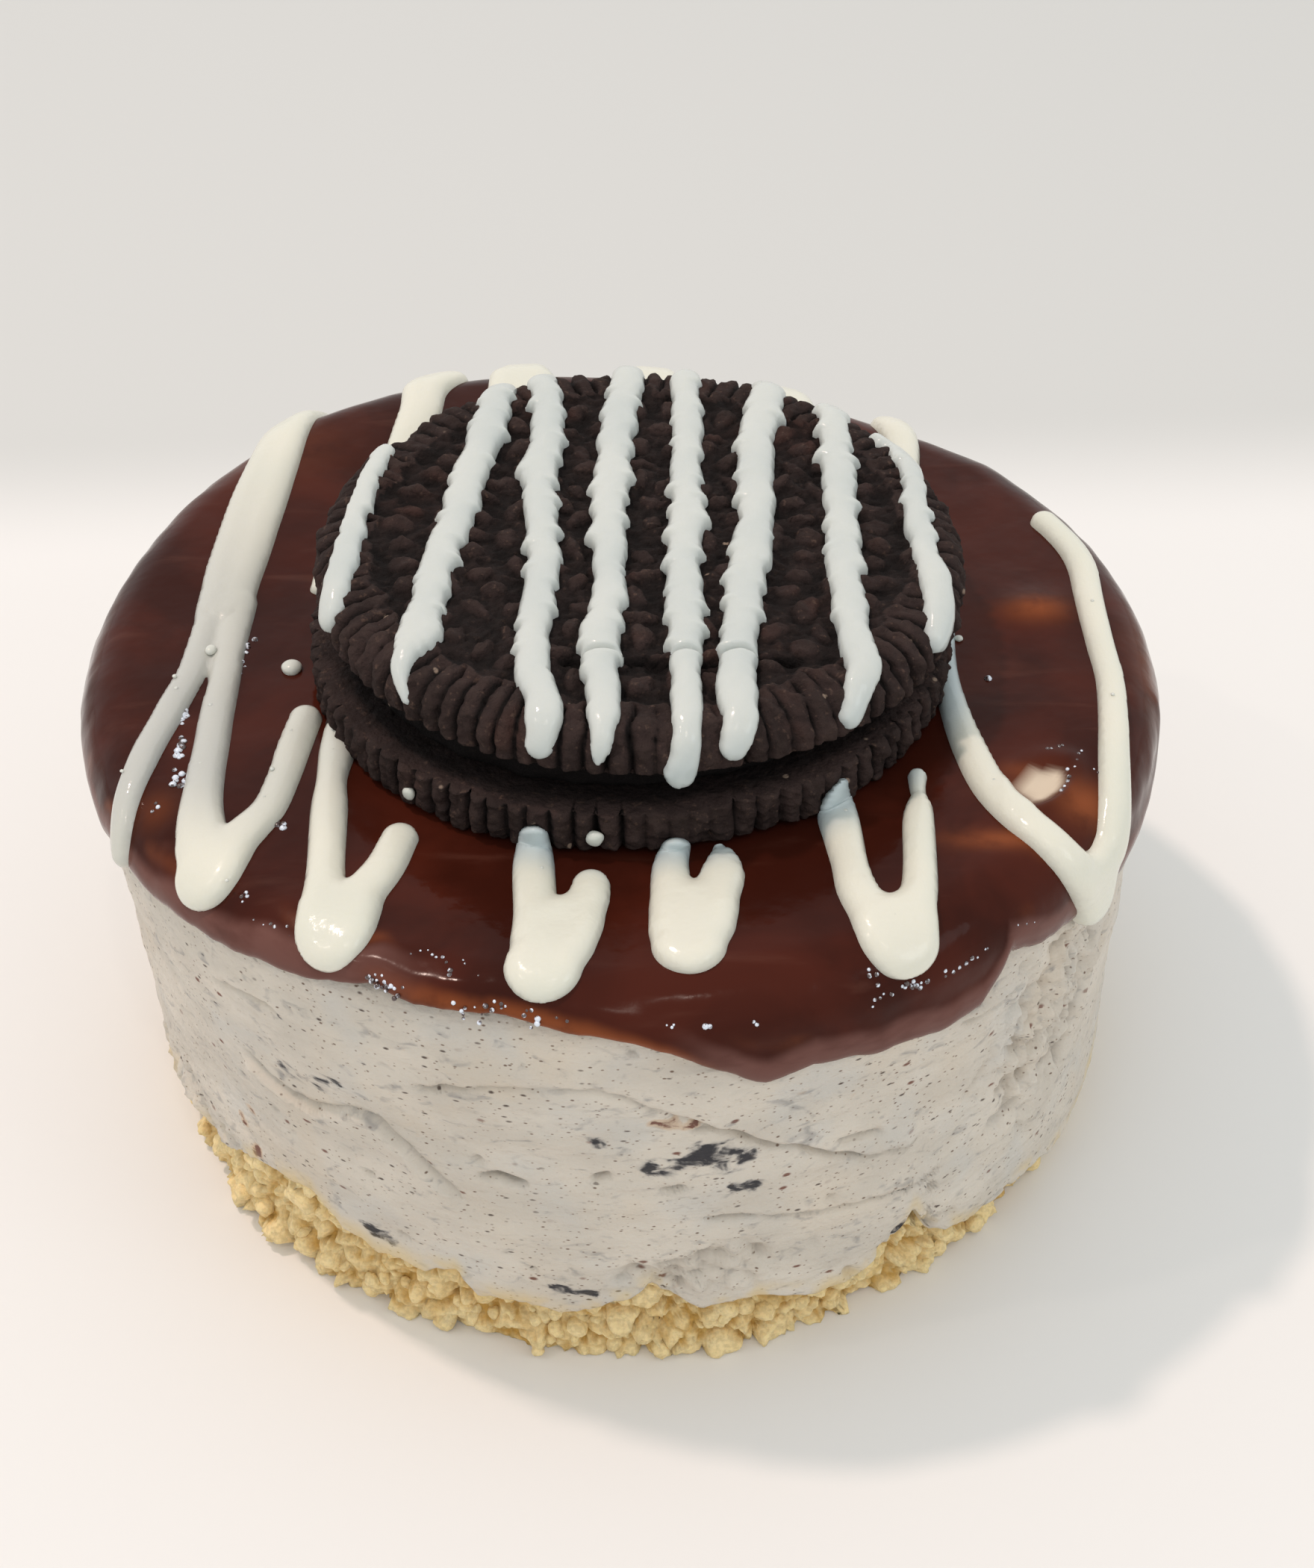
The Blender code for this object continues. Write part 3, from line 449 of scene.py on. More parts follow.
def unit_circle(degrees):
    """Points of a circle of radius 1, mirrored front to back, for noise that joins up."""
    return flat_points(np.sin(np.radians(degrees)), np.cos(np.radians(degrees)))


def wrapped(degrees):
    """The same angles between -180 and 180."""
    return (degrees + 180.0) % 360.0 - 180.0


def path_distance(across, up, points):
    """Distance from (across, up) to a line through points, positive on its upper side."""
    best = np.full(across.shape, 1e3)
    for (x0, y0), (x1, y1) in zip(points[:-1], points[1:]):
        dx, dy = x1 - x0, y1 - y0
        share = np.clip(((across - x0) * dx + (up - y0) * dy) / (dx * dx + dy * dy), 0.0, 1.0)
        offx, offy = across - x0 - share * dx, up - y0 - share * dy
        away = np.hypot(offx, offy)
        signed = np.where(dx * offy - dy * offx >= 0.0, away, -away)
        best = np.where(away < np.abs(best), signed, best)
    return best


def lean(degrees):
    """How far the top leans outwards and upwards at each angle, read off the table."""
    table = np.array(LEAN)
    turn = wrapped(degrees)
    return tuple(np.interp(turn, table[:, 0], column, period=360.0) for column in table[:, 1:].T)


def on_coat(x, y, lift):
    """A point of the unrolled layout on the coat: flat out to COAT_FLAT, then round an arc of
    COAT_ROUND, then straight down the wall, lifted along the normal, with the lean of the top
    growing from LEAN_START to the rim."""
    run = np.hypot(x, y)
    turn = np.arctan2(x, -y)
    outwards, upwards = lean(np.degrees(turn))
    share = between(run, LEAN_START, COAT_FLAT)
    bend = np.clip((run - COAT_FLAT) / COAT_ROUND, 0.0, np.pi / 2.0)
    down = np.maximum(run - COAT_FLAT - COAT_ROUND * np.pi / 2.0, 0.0)
    radius = np.minimum(run, COAT_FLAT) + (COAT_ROUND + lift) * np.sin(bend) + share * outwards
    height = COAT_TOP - COAT_ROUND + (COAT_ROUND + lift) * np.cos(bend) - down + share * upwards
    return ring_points(turn, radius, height)


def on_cake(x, y, lift):
    """A point of the layout on the coat or, where it would lie inside the lower wafer's front, moved
    forwards to the wafer's side and raised by CLIMB times that move, its lift turning sideways."""
    points = on_coat(x, y, lift)
    beside = x - LOWER_CENTRE[0]
    rim = COOKIE_RADIUS - 0.1 + lift
    reach = np.sqrt(np.maximum(rim ** 2 - beside ** 2, 0.0))
    move = np.where(y < LOWER_CENTRE[1], np.maximum(y - LOWER_CENTRE[1] + reach, 0.0), 0.0)
    move = move * falling(np.abs(beside), *CLIMB_FADE)
    points[..., 1] = points[..., 1] - move
    points[..., 2] = points[..., 2] + CLIMB * move - lift * between(move, 0.0, 1.5)
    return points


def upper_place(points):
    """From the upper wafer's own frame to its place: shifted, and raised by its slight tilt."""
    x, y, z = points[..., 0], points[..., 1], points[..., 2]
    height = UPPER_HEIGHT + z + UPPER_TILT[0] * x + UPPER_TILT[1] * y
    return np.stack([UPPER_CENTRE[0] + x, UPPER_CENTRE[1] + y, height], -1)


def on_wafer(x, y, lift):
    """A point of the stripes' layout on the upper wafer: flat, then round its bevelled edge."""
    run = np.hypot(x, y)
    turn = np.arctan2(x, -y)
    bend = np.clip((run - WAFER_FLAT) / WAFER_BEVEL, 0.0, np.pi / 2.0)
    down = np.maximum(run - WAFER_FLAT - WAFER_BEVEL * np.pi / 2.0, 0.0)
    radius = np.minimum(run, WAFER_FLAT) + (WAFER_BEVEL + lift) * np.sin(bend)
    height = WAFER_THICKNESS - WAFER_BEVEL + (WAFER_BEVEL + lift) * np.cos(bend) - down
    return upper_place(ring_points(turn, radius, height))


def face_list(faces):
    """Faces as lists, with the doubled last corner of a triangle dropped."""
    triangle = faces[:, 2] == faces[:, 3]
    return faces[~triangle].tolist() + faces[triangle][:, :3].tolist()


def put_mesh(name, points, faces, material, smooth_angle=180.0):
    """A piece at the origin from points in millimetres and rows of faces, riding on the body."""
    mesh = bpy.data.meshes.new(name)
    mesh.from_pydata((np.asarray(points) * MM).tolist(), [], face_list(faces))
    mesh.validate()
    mesh.materials.append(material)
    mesh.shade_smooth()
    if smooth_angle < 180.0:
        mesh.set_sharp_from_angle(angle=math.radians(smooth_angle))
    piece = bpy.data.objects.new(name, mesh)
    bpy.context.scene.collection.objects.link(piece)
    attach(piece, BODY)
    return piece


def paint(piece, name, channels):
    """Store three 0 to 1 masks, each one value or one per vertex, as a colour attribute for the
    material to read."""
    values = np.ones((len(piece.data.vertices), 4), np.float32)
    for k, channel in enumerate(channels):
        values[:, k] = np.clip(np.ravel(channel), 0.0, 1.0)
    layer = piece.data.attributes.new(name, "FLOAT_COLOR", "POINT")
    layer.data.foreach_set("color", values.ravel())


def turned_faces(rows, columns):
    """Faces of a closed turned surface: rows of columns points from the top to the bottom, a fan
    to a pole point before the first row and one after the last. A triangle's last corner is doubled."""
    index = np.arange(rows * columns).reshape(rows, columns) + 1
    ahead = np.roll(index, -1, axis=1)
    quads = np.stack([index[:-1], index[1:], ahead[1:], ahead[:-1]], -1).reshape(-1, 4)
    last = rows * columns + 1
    top = np.stack([np.zeros(columns, int), index[0], ahead[0], ahead[0]], -1)
    foot = np.stack([np.full(columns, last), ahead[-1], index[-1], index[-1]], -1)
    return np.vstack([quads, top, foot])


def with_poles(grid):
    """The points of a turned grid with its first and last rows' middles as poles."""
    return np.vstack([grid[0].mean(0), grid.reshape(-1, 3), grid[-1].mean(0)])


def pole_values(grid):
    """A value per point of with_poles, from a grid of values."""
    return np.concatenate([[grid[0].mean()], grid.ravel(), [grid[-1].mean()]])


def smooth_path(keys, step=0.7):
    """Points about a step apart on a Catmull-Rom curve through the (x, y, width) keys."""
    keys = np.asarray(keys, float)
    padded = np.vstack([2.0 * keys[0] - keys[1], keys, 2.0 * keys[-1] - keys[-2]])
    rows = []
    for k in range(1, len(padded) - 2):
        before, start, end, after = padded[k - 1:k + 3]
        count = max(1, round(math.dist(start[:2], end[:2]) / step))
        t = (np.arange(count) / count)[:, None]
        bent = (end - before) * t + (2.0 * before - 5.0 * start + 4.0 * end - after) * t ** 2
        bent = bent + (3.0 * start - before - 3.0 * end + after) * t ** 3
        rows.append(start + 0.5 * bent)
    return np.vstack([*rows, keys[-1:]])


def stroke_depth(x, y, path):
    """How far inside a stroke each point is: half the width at the nearest place of its path less
    the distance to it, with that half width, the distance along the path and the side."""
    depth = np.full(x.shape, -9.0)
    half = np.ones(x.shape)
    along = np.zeros(x.shape)
    side = np.zeros(x.shape)
    run = 0.0
    for (x0, y0, w0), (x1, y1, w1) in zip(path[:-1], path[1:]):
        dx, dy = x1 - x0, y1 - y0
        length = math.hypot(dx, dy)
        share = np.clip(((x - x0) * dx + (y - y0) * dy) / length ** 2, 0.0, 1.0)
        offx, offy = x - x0 - share * dx, y - y0 - share * dy
        here = (w0 + share * (w1 - w0)) / 2.0
        inside = here - np.hypot(offx, offy)
        better = inside > depth
        depth = np.where(better, inside, depth)
        half = np.where(better, here, half)
        along = np.where(better, run + share * length, along)
        side = np.where(better, np.sign(dx * offy - dy * offx), side)
        run += length
    return depth, half, along, side


def icing_field(x, y, strokes, soften, ragged, seed):
    """Depth inside the joined strokes and their half width: a smooth maximum, so that strokes
    melt into each other, the last of several, a pool, more than the rest. Ragged edges add teeth
    that lean one way along the stroke."""
    depth = np.full(x.shape, -9.0)
    half = np.ones(x.shape)
    for number, keys in enumerate(strokes):
        inside, width, along, side = stroke_depth(x, y, smooth_path(keys))
        if ragged > 0.0:
            place = np.stack([along, side * 7.0, np.full(x.shape, seed + number + 0.5)], -1)
            count = (along + 1.5 * ripple(place, 3.9, 5)) / TOOTH_SPACING + 0.3 * side + seed
            phase = count % 1.0
            tooth = np.where(phase < 0.88, (phase / 0.88) ** 2.6, (1.0 - phase) / 0.12)
            own = lattice(np.stack([np.floor(count), side, 0.0 * side], -1).astype(np.int64), seed)
            own = np.where(own < 0.3, -0.1, own)
            end = float(np.sum(np.hypot(*np.diff(np.asarray(keys)[:, :2], axis=0).T)))
            fade = between(width, 0.6, 0.95) * falling(along, end - 8.5, end - 6.5)
            inside = inside + ragged * fade * ((0.15 + 1.05 * own) * tooth - 0.18)
            inside = inside + 0.55 * ragged * rough(place, 1.9, 17, 2)
        blend = soften * (POOL_BLEND if 0 < number == len(strokes) - 1 else 1.0)
        share = np.clip(0.5 + 0.5 * (inside - depth) / blend, 0.0, 1.0)
        depth = depth + (inside - depth) * share + blend * share * (1.0 - share)
        half = half + (width - half) * share
    return depth, half


def icing_body(strokes, place, cell, sink, rise, swell, soften=0.7, ragged=0.0, seed=0):
    """A closed body of icing: grid cells inside the joined strokes, their border moved along the
    field's slope onto the edge, a rounded top (height is rise times the half width, up to PLATEAU,
    times a quarter circle of the depth), a sunk underside and a wall round the border."""
    keys = np.vstack([np.asarray(stroke) for stroke in strokes])
    low = keys[:, :2].min(0) - 3.0
    high = keys[:, :2].max(0) + 3.0
    x, y = np.meshgrid(np.arange(low[0], high[0], cell), np.arange(low[1], high[1], cell), indexing="ij")
    depth, half = icing_field(x, y, strokes, soften, ragged, seed)
    middle = (depth[:-1, :-1] + depth[1:, :-1] + depth[:-1, 1:] + depth[1:, 1:]) / 4.0
    kept = np.pad(middle > 0.0, 1)
    around = kept[:-1, :-1] * 1 + kept[1:, :-1] + kept[:-1, 1:] + kept[1:, 1:]
    border = (around > 0) & (around < 4)
    slope_x, slope_y = np.gradient(depth, cell)
    steep = np.maximum(slope_x ** 2 + slope_y ** 2, 0.25)
    shift = np.where(border, -depth / steep, 0.0)
    x = x + np.clip(shift * slope_x, -cell, cell)
    y = y + np.clip(shift * slope_y, -cell, cell)
    depth = np.where(border, 0.0, np.maximum(depth, 0.0))
    half = np.minimum(half, PLATEAU)
    share = np.clip(depth / half, 0.0, 1.0)
    height = rise * half ** 0.8 * np.sqrt(1.0 - (1.0 - share) ** 2)
    used = around > 0
    number = np.cumsum(used.ravel()).reshape(used.shape) - 1
    count = int(used.sum())
    x, y, height = x[used], y[used], height[used]
    height = height + swell(x, y, height)
    base = coat_swell(x, y) if place is on_cake else 0.0
    points = np.vstack([place(x, y, base + height), place(x, y, base - sink)])
    a, b = number[:-1, :-1], number[1:, :-1]
    c, d = number[1:, 1:], number[:-1, 1:]
    inner = kept[1:-1, 1:-1]
    faces = [np.stack([a, b, c, d], -1)[inner]]
    faces.append(faces[0][:, ::-1] + count)
    for start, end, beside in ((a, b, kept[1:-1, :-2]), (b, c, kept[2:, 1:-1]),
                               (c, d, kept[1:-1, 2:]), (d, a, kept[:-2, 1:-1])):
        edge = inner & ~beside
        faces.append(np.stack([end, start, start + count, end + count], -1)[edge])
    return points, np.vstack(faces)


def joined(bodies):
    """Several (points, faces) bodies as one."""
    points, faces, count = [], [], 0
    for own_points, own_faces in bodies:
        points.append(own_points)
        faces.append(own_faces + count)
        count += len(own_points)
    return np.vstack(points), np.vstack(faces)


def blobs(centres, radii, normals, seed, lumpy, squash, columns, rows):
    """Small rounded lumps: unit spheres of rows by columns points, their radius changed by noise,
    flattened along their normals and set at their centres."""
    rise = np.linspace(0.0, np.pi, rows + 2)[1:-1]
    turn = np.arange(columns) * 2.0 * np.pi / columns
    ring = np.stack([np.sin(rise)[:, None] * np.cos(turn), np.sin(rise)[:, None] * np.sin(turn),
                     np.cos(rise)[:, None] * np.ones(columns)], -1)
    ball = np.vstack([[0.0, 0.0, 1.0], ring.reshape(-1, 3), [0.0, 0.0, -1.0]])
    normals = normals / np.linalg.norm(normals, axis=-1, keepdims=True)
    helper = np.where(np.abs(normals[:, 2:]) > 0.9, [[1.0, 0.0, 0.0]], [[0.0, 0.0, 1.0]])
    side = np.cross(helper, normals)
    side = side / np.linalg.norm(side, axis=-1, keepdims=True)
    front = np.cross(normals, side)
    local = np.repeat(ball[None], len(centres), 0)
    own = local * 0.8 + np.arange(len(centres))[:, None, None] * 7.3
    local = local * (1.0 + lumpy * ripple(own, 1.0, seed))[..., None]
    local = local * radii[:, None, None] * np.array([1.0, 1.0, squash])
    points = (centres[:, None] + local[..., :1] * side[:, None] + local[..., 1:2] * front[:, None]
              + local[..., 2:] * normals[:, None])
    every = turned_faces(rows, columns)[None] + (np.arange(len(centres)) * len(ball))[:, None, None]
    return points.reshape(-1, 3), every.reshape(-1, 4)


def out_of_round(degrees):
    """How far the wall stands outside a true circle: two slow waves round the cake."""
    turn = np.radians(degrees)
    return 0.12 * np.sin(2.0 * turn + 0.6) + 0.10 * np.sin(3.0 * turn + 2.0)


def hem_height(degrees):
    """Height of the cheesecake's torn lower edge: the front's table, slow ripples at the back,
    and fine tears all round."""
    flat = unit_circle(degrees) * WALL_RADIUS
    front = np.interp(np.clip(wrapped(degrees), -90.0, 90.0), *np.array(HEM).T)
    back = 6.5 + 1.3 * ripple(flat, 8.0, 3)
    height = front + (back - front) * between(np.abs(wrapped(degrees)), 78.0, 96.0)
    return height + 0.35 * rough(flat, 1.7, 4)


def wall_radius(degrees, z):
    """Radius of the wall, and how deep each point lies in a groove, pit or tear, for painted shade:
    slightly out of round, with slow smears, long horizontal streaks, folds and slits, small air
    pits, and coarse torn places."""
    across = np.radians(degrees) * WALL_RADIUS
    ring = ring_points(np.radians(degrees), WALL_RADIUS, z)
    half_round = math.pi * WALL_RADIUS
    radius = WALL_RADIUS + out_of_round(degrees) * falling(z, 20.0, 26.0)
    radius = radius + 0.30 * between(z, 22.0, 27.0) * falling(z, 29.0, 31.0)
    radius = radius + 0.30 * ripple(ring * [0.35, 0.35, 1.0], 3.4, 21) * falling(z, 26.0, 30.0)
    radius = radius + 0.10 * ripple(ring * [0.25, 0.25, 1.0], 0.8, 22) + 0.05 * rough(ring, 1.0, 23)
    # How deep each point lies in a fold, pit or tear, which the material paints as shade
    shade_depth = np.zeros(ring.shape[:-1])
    for points, depth, half, step in FOLDS:
        line = [(math.radians(angle) * WALL_RADIUS, height) for angle, height in points]
        middle = math.radians(sum(angle for angle, _ in points) / len(points)) * WALL_RADIUS
        shifted = (across - middle + half_round) % (2.0 * half_round) + middle - half_round
        away = path_distance(shifted + 0.25 * ripple(ring, 1.6, 25), z + 0.18 * ripple(ring, 1.3, 26), line)
        centre, reach = (line[0][0] + line[-1][0]) / 2.0, abs(line[-1][0] - line[0][0]) / 2.0
        ends = falling(np.abs(shifted - centre), reach - 0.6, reach + 0.8)
        groove = np.exp(-(away / max(half, 0.24)) ** 2)
        shade_depth = np.maximum(shade_depth, ends * groove * min(1.0, 1.6 * depth))
        above = away * math.copysign(1.0, step)
        lip = np.where(above > 0.0, np.exp(-above / 1.8), 0.0)
        radius = radius + ends * (1.5 * abs(step) * lip * (1.0 - groove) - 1.7 * depth * groove)
    pits, _, own = grains(ring * [0.6, 0.6, 1.0], 2.6, 40)
    pit = (own > 0.62) * np.sqrt(np.clip(1.0 - (pits / (0.18 + 0.2 * own)) ** 2, 0.0, 1.0))
    radius = radius - 0.45 * pit
    torn = torn_places(degrees, z)
    lumps, gap, _ = grains(ring, 1.5, 50)
    crag = 0.95 * rough(ring, 1.9, 51) + 0.80 * (gap - lumps) / 1.5 - 0.60
    shade_depth = np.maximum(shade_depth, np.maximum(0.6 * pit, torn * np.clip(-0.7 * crag, 0.0, 1.0)))
    radius = radius + torn * crag
    return radius + lean(degrees)[0] * between(z, 6.0, CHEESE_TOP - 2.0), shade_depth


def torn_places(degrees, z):
    """Where the wall is torn and pitted: the places of the table, each with a soft, wavy border."""
    edge = 0.55 * rough(flat_points(np.radians(degrees) * WALL_RADIUS, z), 4.0, 61)
    total = np.zeros_like(z)
    for angle, height, half_angle, half_height, strength in TORN_PLACES:
        off = np.hypot(wrapped(degrees - angle) / half_angle, (z - height) / half_height) + edge
        total = np.maximum(total, strength * falling(off, 0.65, 1.1))
    return total


def wall_masks(degrees, z, hem):
    """Masks for the wall's material: dark pieces, reddish spots with a tan stain, and how near
    the crumbs the cheesecake is. Each piece is a line of its own width with a wavy border."""
    ring = ring_points(np.radians(degrees), WALL_RADIUS, z)
    wave_across = 0.55 * ripple(ring, 1.7, 27) + 0.25 * ripple(ring, 0.6, 28)
    wave_up = 0.40 * ripple(ring, 1.4, 29) + 0.15 * ripple(ring, 0.5, 30)
    masks = []
    for table in (CHUNKS, SPOTS):
        mask = np.zeros_like(z)
        for points, half, strength in table:
            middle = points[0][0]
            across = np.radians(wrapped(degrees - middle)) * WALL_RADIUS + wave_across
            line = [(math.radians(angle - middle) * WALL_RADIUS, height) for angle, height in points]
            away = np.abs(path_distance(across, z + wave_up, line))
            mask = np.maximum(mask, strength * falling(away / half, 0.15, 1.0))
        masks.append(mask)
    return masks[0], masks[1], falling(z - hem, 0.0, 2.2)


def coat_edge(degrees):
    """How far the coat runs at each angle: the front's table, and wide sags elsewhere."""
    sags = np.zeros_like(degrees)
    for centre, depth, half in COAT_SAGS:
        sags = np.maximum(sags, depth * np.exp(-((wrapped(degrees - centre) / half) ** 4)))
    turn = wrapped(degrees)
    front = np.interp(turn, *np.array(COAT_EDGE).T)
    share = between(turn, -70.0, -62.0) * falling(turn, 57.0, 66.0)
    reach = COAT_REACH + sags
    return reach + (front - reach) * share + 0.22 * rough(unit_circle(degrees) * WALL_RADIUS, 2.4, 71)


def coat_swell(x, y):
    """How much the coat's surface rises and falls: slow waves, a bump at the right and a low
    ring with a hole where a bubble has burst."""
    flat = flat_points(x, y)
    swell = 0.10 * ripple(flat, 9.0, 81) + 0.05 * ripple(flat, 4.0, 82)
    swell = swell + 0.42 * np.exp(-(((x - BUMP_CENTRE[0]) / 2.3) ** 2 + ((y - BUMP_CENTRE[1]) / 2.0) ** 2))
    hole = crater(x, y)
    swell = swell + 0.20 * np.exp(-((hole - 1.9) / 0.5) ** 2) - 0.35 * falling(hole, 0.7, 1.7)
    return swell


def crater(x, y):
    """Distance from the burst bubble's middle, measured longer across one diagonal so that it is
    an ellipse with its long axis towards the back right."""
    x, y = x - CRATER_CENTRE[0], y - CRATER_CENTRE[1]
    along = CRATER_AXIS[0] * x + CRATER_AXIS[1] * y
    across = -CRATER_AXIS[1] * x + CRATER_AXIS[0] * y
    return np.hypot(along / 1.75, across / 0.98)


def length_value(name, description, default, low, high):
    """A length in metres."""
    return bpy.props.FloatProperty(
        name=name, description=description, default=default, min=low, max=high, unit="LENGTH")


def colour_value(name, description, default):
    """A colour as linear values."""
    return bpy.props.FloatVectorProperty(
        name=name, description=description, default=default, min=0.0, max=1.0, subtype="COLOR")


class CakeSizes(bpy.types.PropertyGroup):
    """Sizes that change how coarse or smooth the cake looks."""

    crumb_size: length_value("Crumb size", "Distance between the crumbs of the base", 0.0024, 0.0005, 0.006)
    crumb_depth: length_value("Crumb depth", "How far the crumbs stand out of the base", 0.0009, 0.0, 0.003)
    loose_crumbs: bpy.props.IntProperty(
        name="Loose crumbs", description="Number of separate crumbs round the base", default=420,
        min=0, max=2000)
    icing_cell: length_value("Icing cell", "Size of a face of the icing", 0.00016, 0.0001, 0.001)
    icing_rise: bpy.props.FloatProperty(
        name="Icing rise", description="Height of the icing for each millimetre of half width",
        default=0.86, min=0.1, max=2.0)
    ragged_edge: length_value("Ragged edge", "Depth of the teeth along the stripes", 0.00042, 0.0, 0.001)


class CakeColours(bpy.types.PropertyGroup):
    """Colours of the cake, as linear values."""

    cheese: colour_value("Cheesecake", "Colour of the cheesecake", (0.622, 0.566, 0.488))
    crumb: colour_value("Crumbs", "Colour of the crumb base", (0.82, 0.64, 0.335))
    chocolate: colour_value("Chocolate", "Colour of the coat", (0.044, 0.0092, 0.0052))
    wafer: colour_value("Wafer", "Colour of the baked wafers", (0.029, 0.0178, 0.0160))
    drizzle: colour_value("Drizzle", "Colour of the icing on the coat", (0.745, 0.73, 0.63))
    stripes: colour_value("Stripes", "Colour of the icing on the cookie", (0.60, 0.625, 0.595))


class Finish:
    """A material under construction: its tree, its Principled shader and short ways to add nodes."""

    def __init__(self, name, roughness, specular=0.5):
        self.material = bpy.data.materials.new(name)
        self.material.use_nodes = True
        self.tree = self.material.node_tree
        self.shader = self.tree.nodes["Principled BSDF"]
        self.shader.inputs["Roughness"].default_value = roughness
        self.shader.inputs["Specular IOR Level"].default_value = specular
        self.place = self.add("ShaderNodeTexCoord").outputs["Object"]

    def add(self, kind, **settings):
        """A new node with its settings."""
        node = self.tree.nodes.new(kind)
        for name, value in settings.items():
            setattr(node, name, value)
        return node

    def link(self, source, target):
        """Join two sockets."""
        self.tree.links.new(source, target)

    def stretched(self, scale):
        """Object coordinates multiplied by a scale on each axis."""
        mapping = self.add("ShaderNodeMapping")
        mapping.inputs["Scale"].default_value = scale
        self.link(self.place, mapping.inputs["Vector"])
        return mapping.outputs["Vector"]

    def noise(self, size, detail=3.0, scale=(1.0, 1.0, 1.0), distortion=0.0):
        """Noise with bumps of the given size in metres."""
        node = self.add("ShaderNodeTexNoise")
        node.inputs["Scale"].default_value = 1.0 / size
        node.inputs["Detail"].default_value = detail
        node.inputs["Distortion"].default_value = distortion
        self.link(self.stretched(scale), node.inputs["Vector"])
        return node.outputs["Fac"]

    def cells(self, size, scale=(1.0, 1.0, 1.0)):
        """Distance to cell centres about the given size apart."""
        node = self.add("ShaderNodeTexVoronoi")
        node.inputs["Scale"].default_value = 1.0 / size
        self.link(self.stretched(scale), node.inputs["Vector"])
        return node.outputs["Distance"]

    def step(self, value, low, high, bottom=0.0, top=1.0):
        """A smooth step from bottom at low to top at high."""
        node = self.add("ShaderNodeMapRange", interpolation_type="SMOOTHSTEP")
        for name, number in (("From Min", low), ("From Max", high), ("To Min", bottom), ("To Max", top)):
            node.inputs[name].default_value = number
        self.link(value, node.inputs["Value"])
        return node.outputs["Result"]

    def maths(self, operation, first, second):
        """Two values or sockets put through an operation."""
        node = self.add("ShaderNodeMath", operation=operation)
        for socket, value in zip(node.inputs, (first, second)):
            if isinstance(value, (int, float)):
                socket.default_value = value
            else:
                self.link(value, socket)
        return node.outputs[0]

    def mix(self, share, first, second, blend="MIX"):
        """Two colours mixed by a share; each can be a value or a socket."""
        node = self.add("ShaderNodeMix", data_type="RGBA", blend_type=blend)
        for socket, value in ((node.inputs[0], share), (node.inputs[6], first), (node.inputs[7], second)):
            if isinstance(value, (int, float)):
                socket.default_value = value
            elif isinstance(value, (tuple, list)):
                socket.default_value = (*value[:3], 1.0)
            else:
                self.link(value, socket)
        return node.outputs[2]

    def patches(self, base, *rows):
        """Colours laid over the base where noise is high: size, detail, where the step begins and
        ends, share of the colour, colour."""
        for size, detail, low, high, share, shade in rows:
            base = self.mix(self.step(self.noise(size, detail), low, high, 0.0, share), base, shade)
        return base

    def bumps(self, *rows):
        """Bumps of noise laid over each other: size, detail, depth."""
        normal = None
        for size, detail, depth in rows:
            normal = self.bump(self.noise(size, detail), depth, normal)
        return normal

    def masks(self, name):
        """The three masks of a colour attribute."""
        attribute = self.add("ShaderNodeAttribute", attribute_name=name)
        split = self.add("ShaderNodeSeparateColor")
        self.link(attribute.outputs["Color"], split.inputs["Color"])
        return split.outputs["Red"], split.outputs["Green"], split.outputs["Blue"]

    def bump(self, height, depth, before=None):
        """A bump whose full height is depth metres."""
        node = self.add("ShaderNodeBump")
        node.inputs["Strength"].default_value = 1.0
        node.inputs["Distance"].default_value = depth
        self.link(height, node.inputs["Height"])
        if before is not None:
            self.link(before, node.inputs["Normal"])
        return node.outputs["Normal"]

    def soft(self, weight, radius, scale):
        """Light that enters and leaves again a little further on."""
        self.shader.inputs["Subsurface Weight"].default_value = weight
        self.shader.inputs["Subsurface Radius"].default_value = radius
        self.shader.inputs["Subsurface Scale"].default_value = scale

    def done(self, colour, normal=None, roughness=None):
        """The material, with its colour and, where given, its normal and roughness joined up."""
        self.link(colour, self.shader.inputs["Base Color"])
        if normal is not None:
            self.link(normal, self.shader.inputs["Normal"])
        if roughness is not None:
            self.link(roughness, self.shader.inputs["Roughness"])
        return self.material


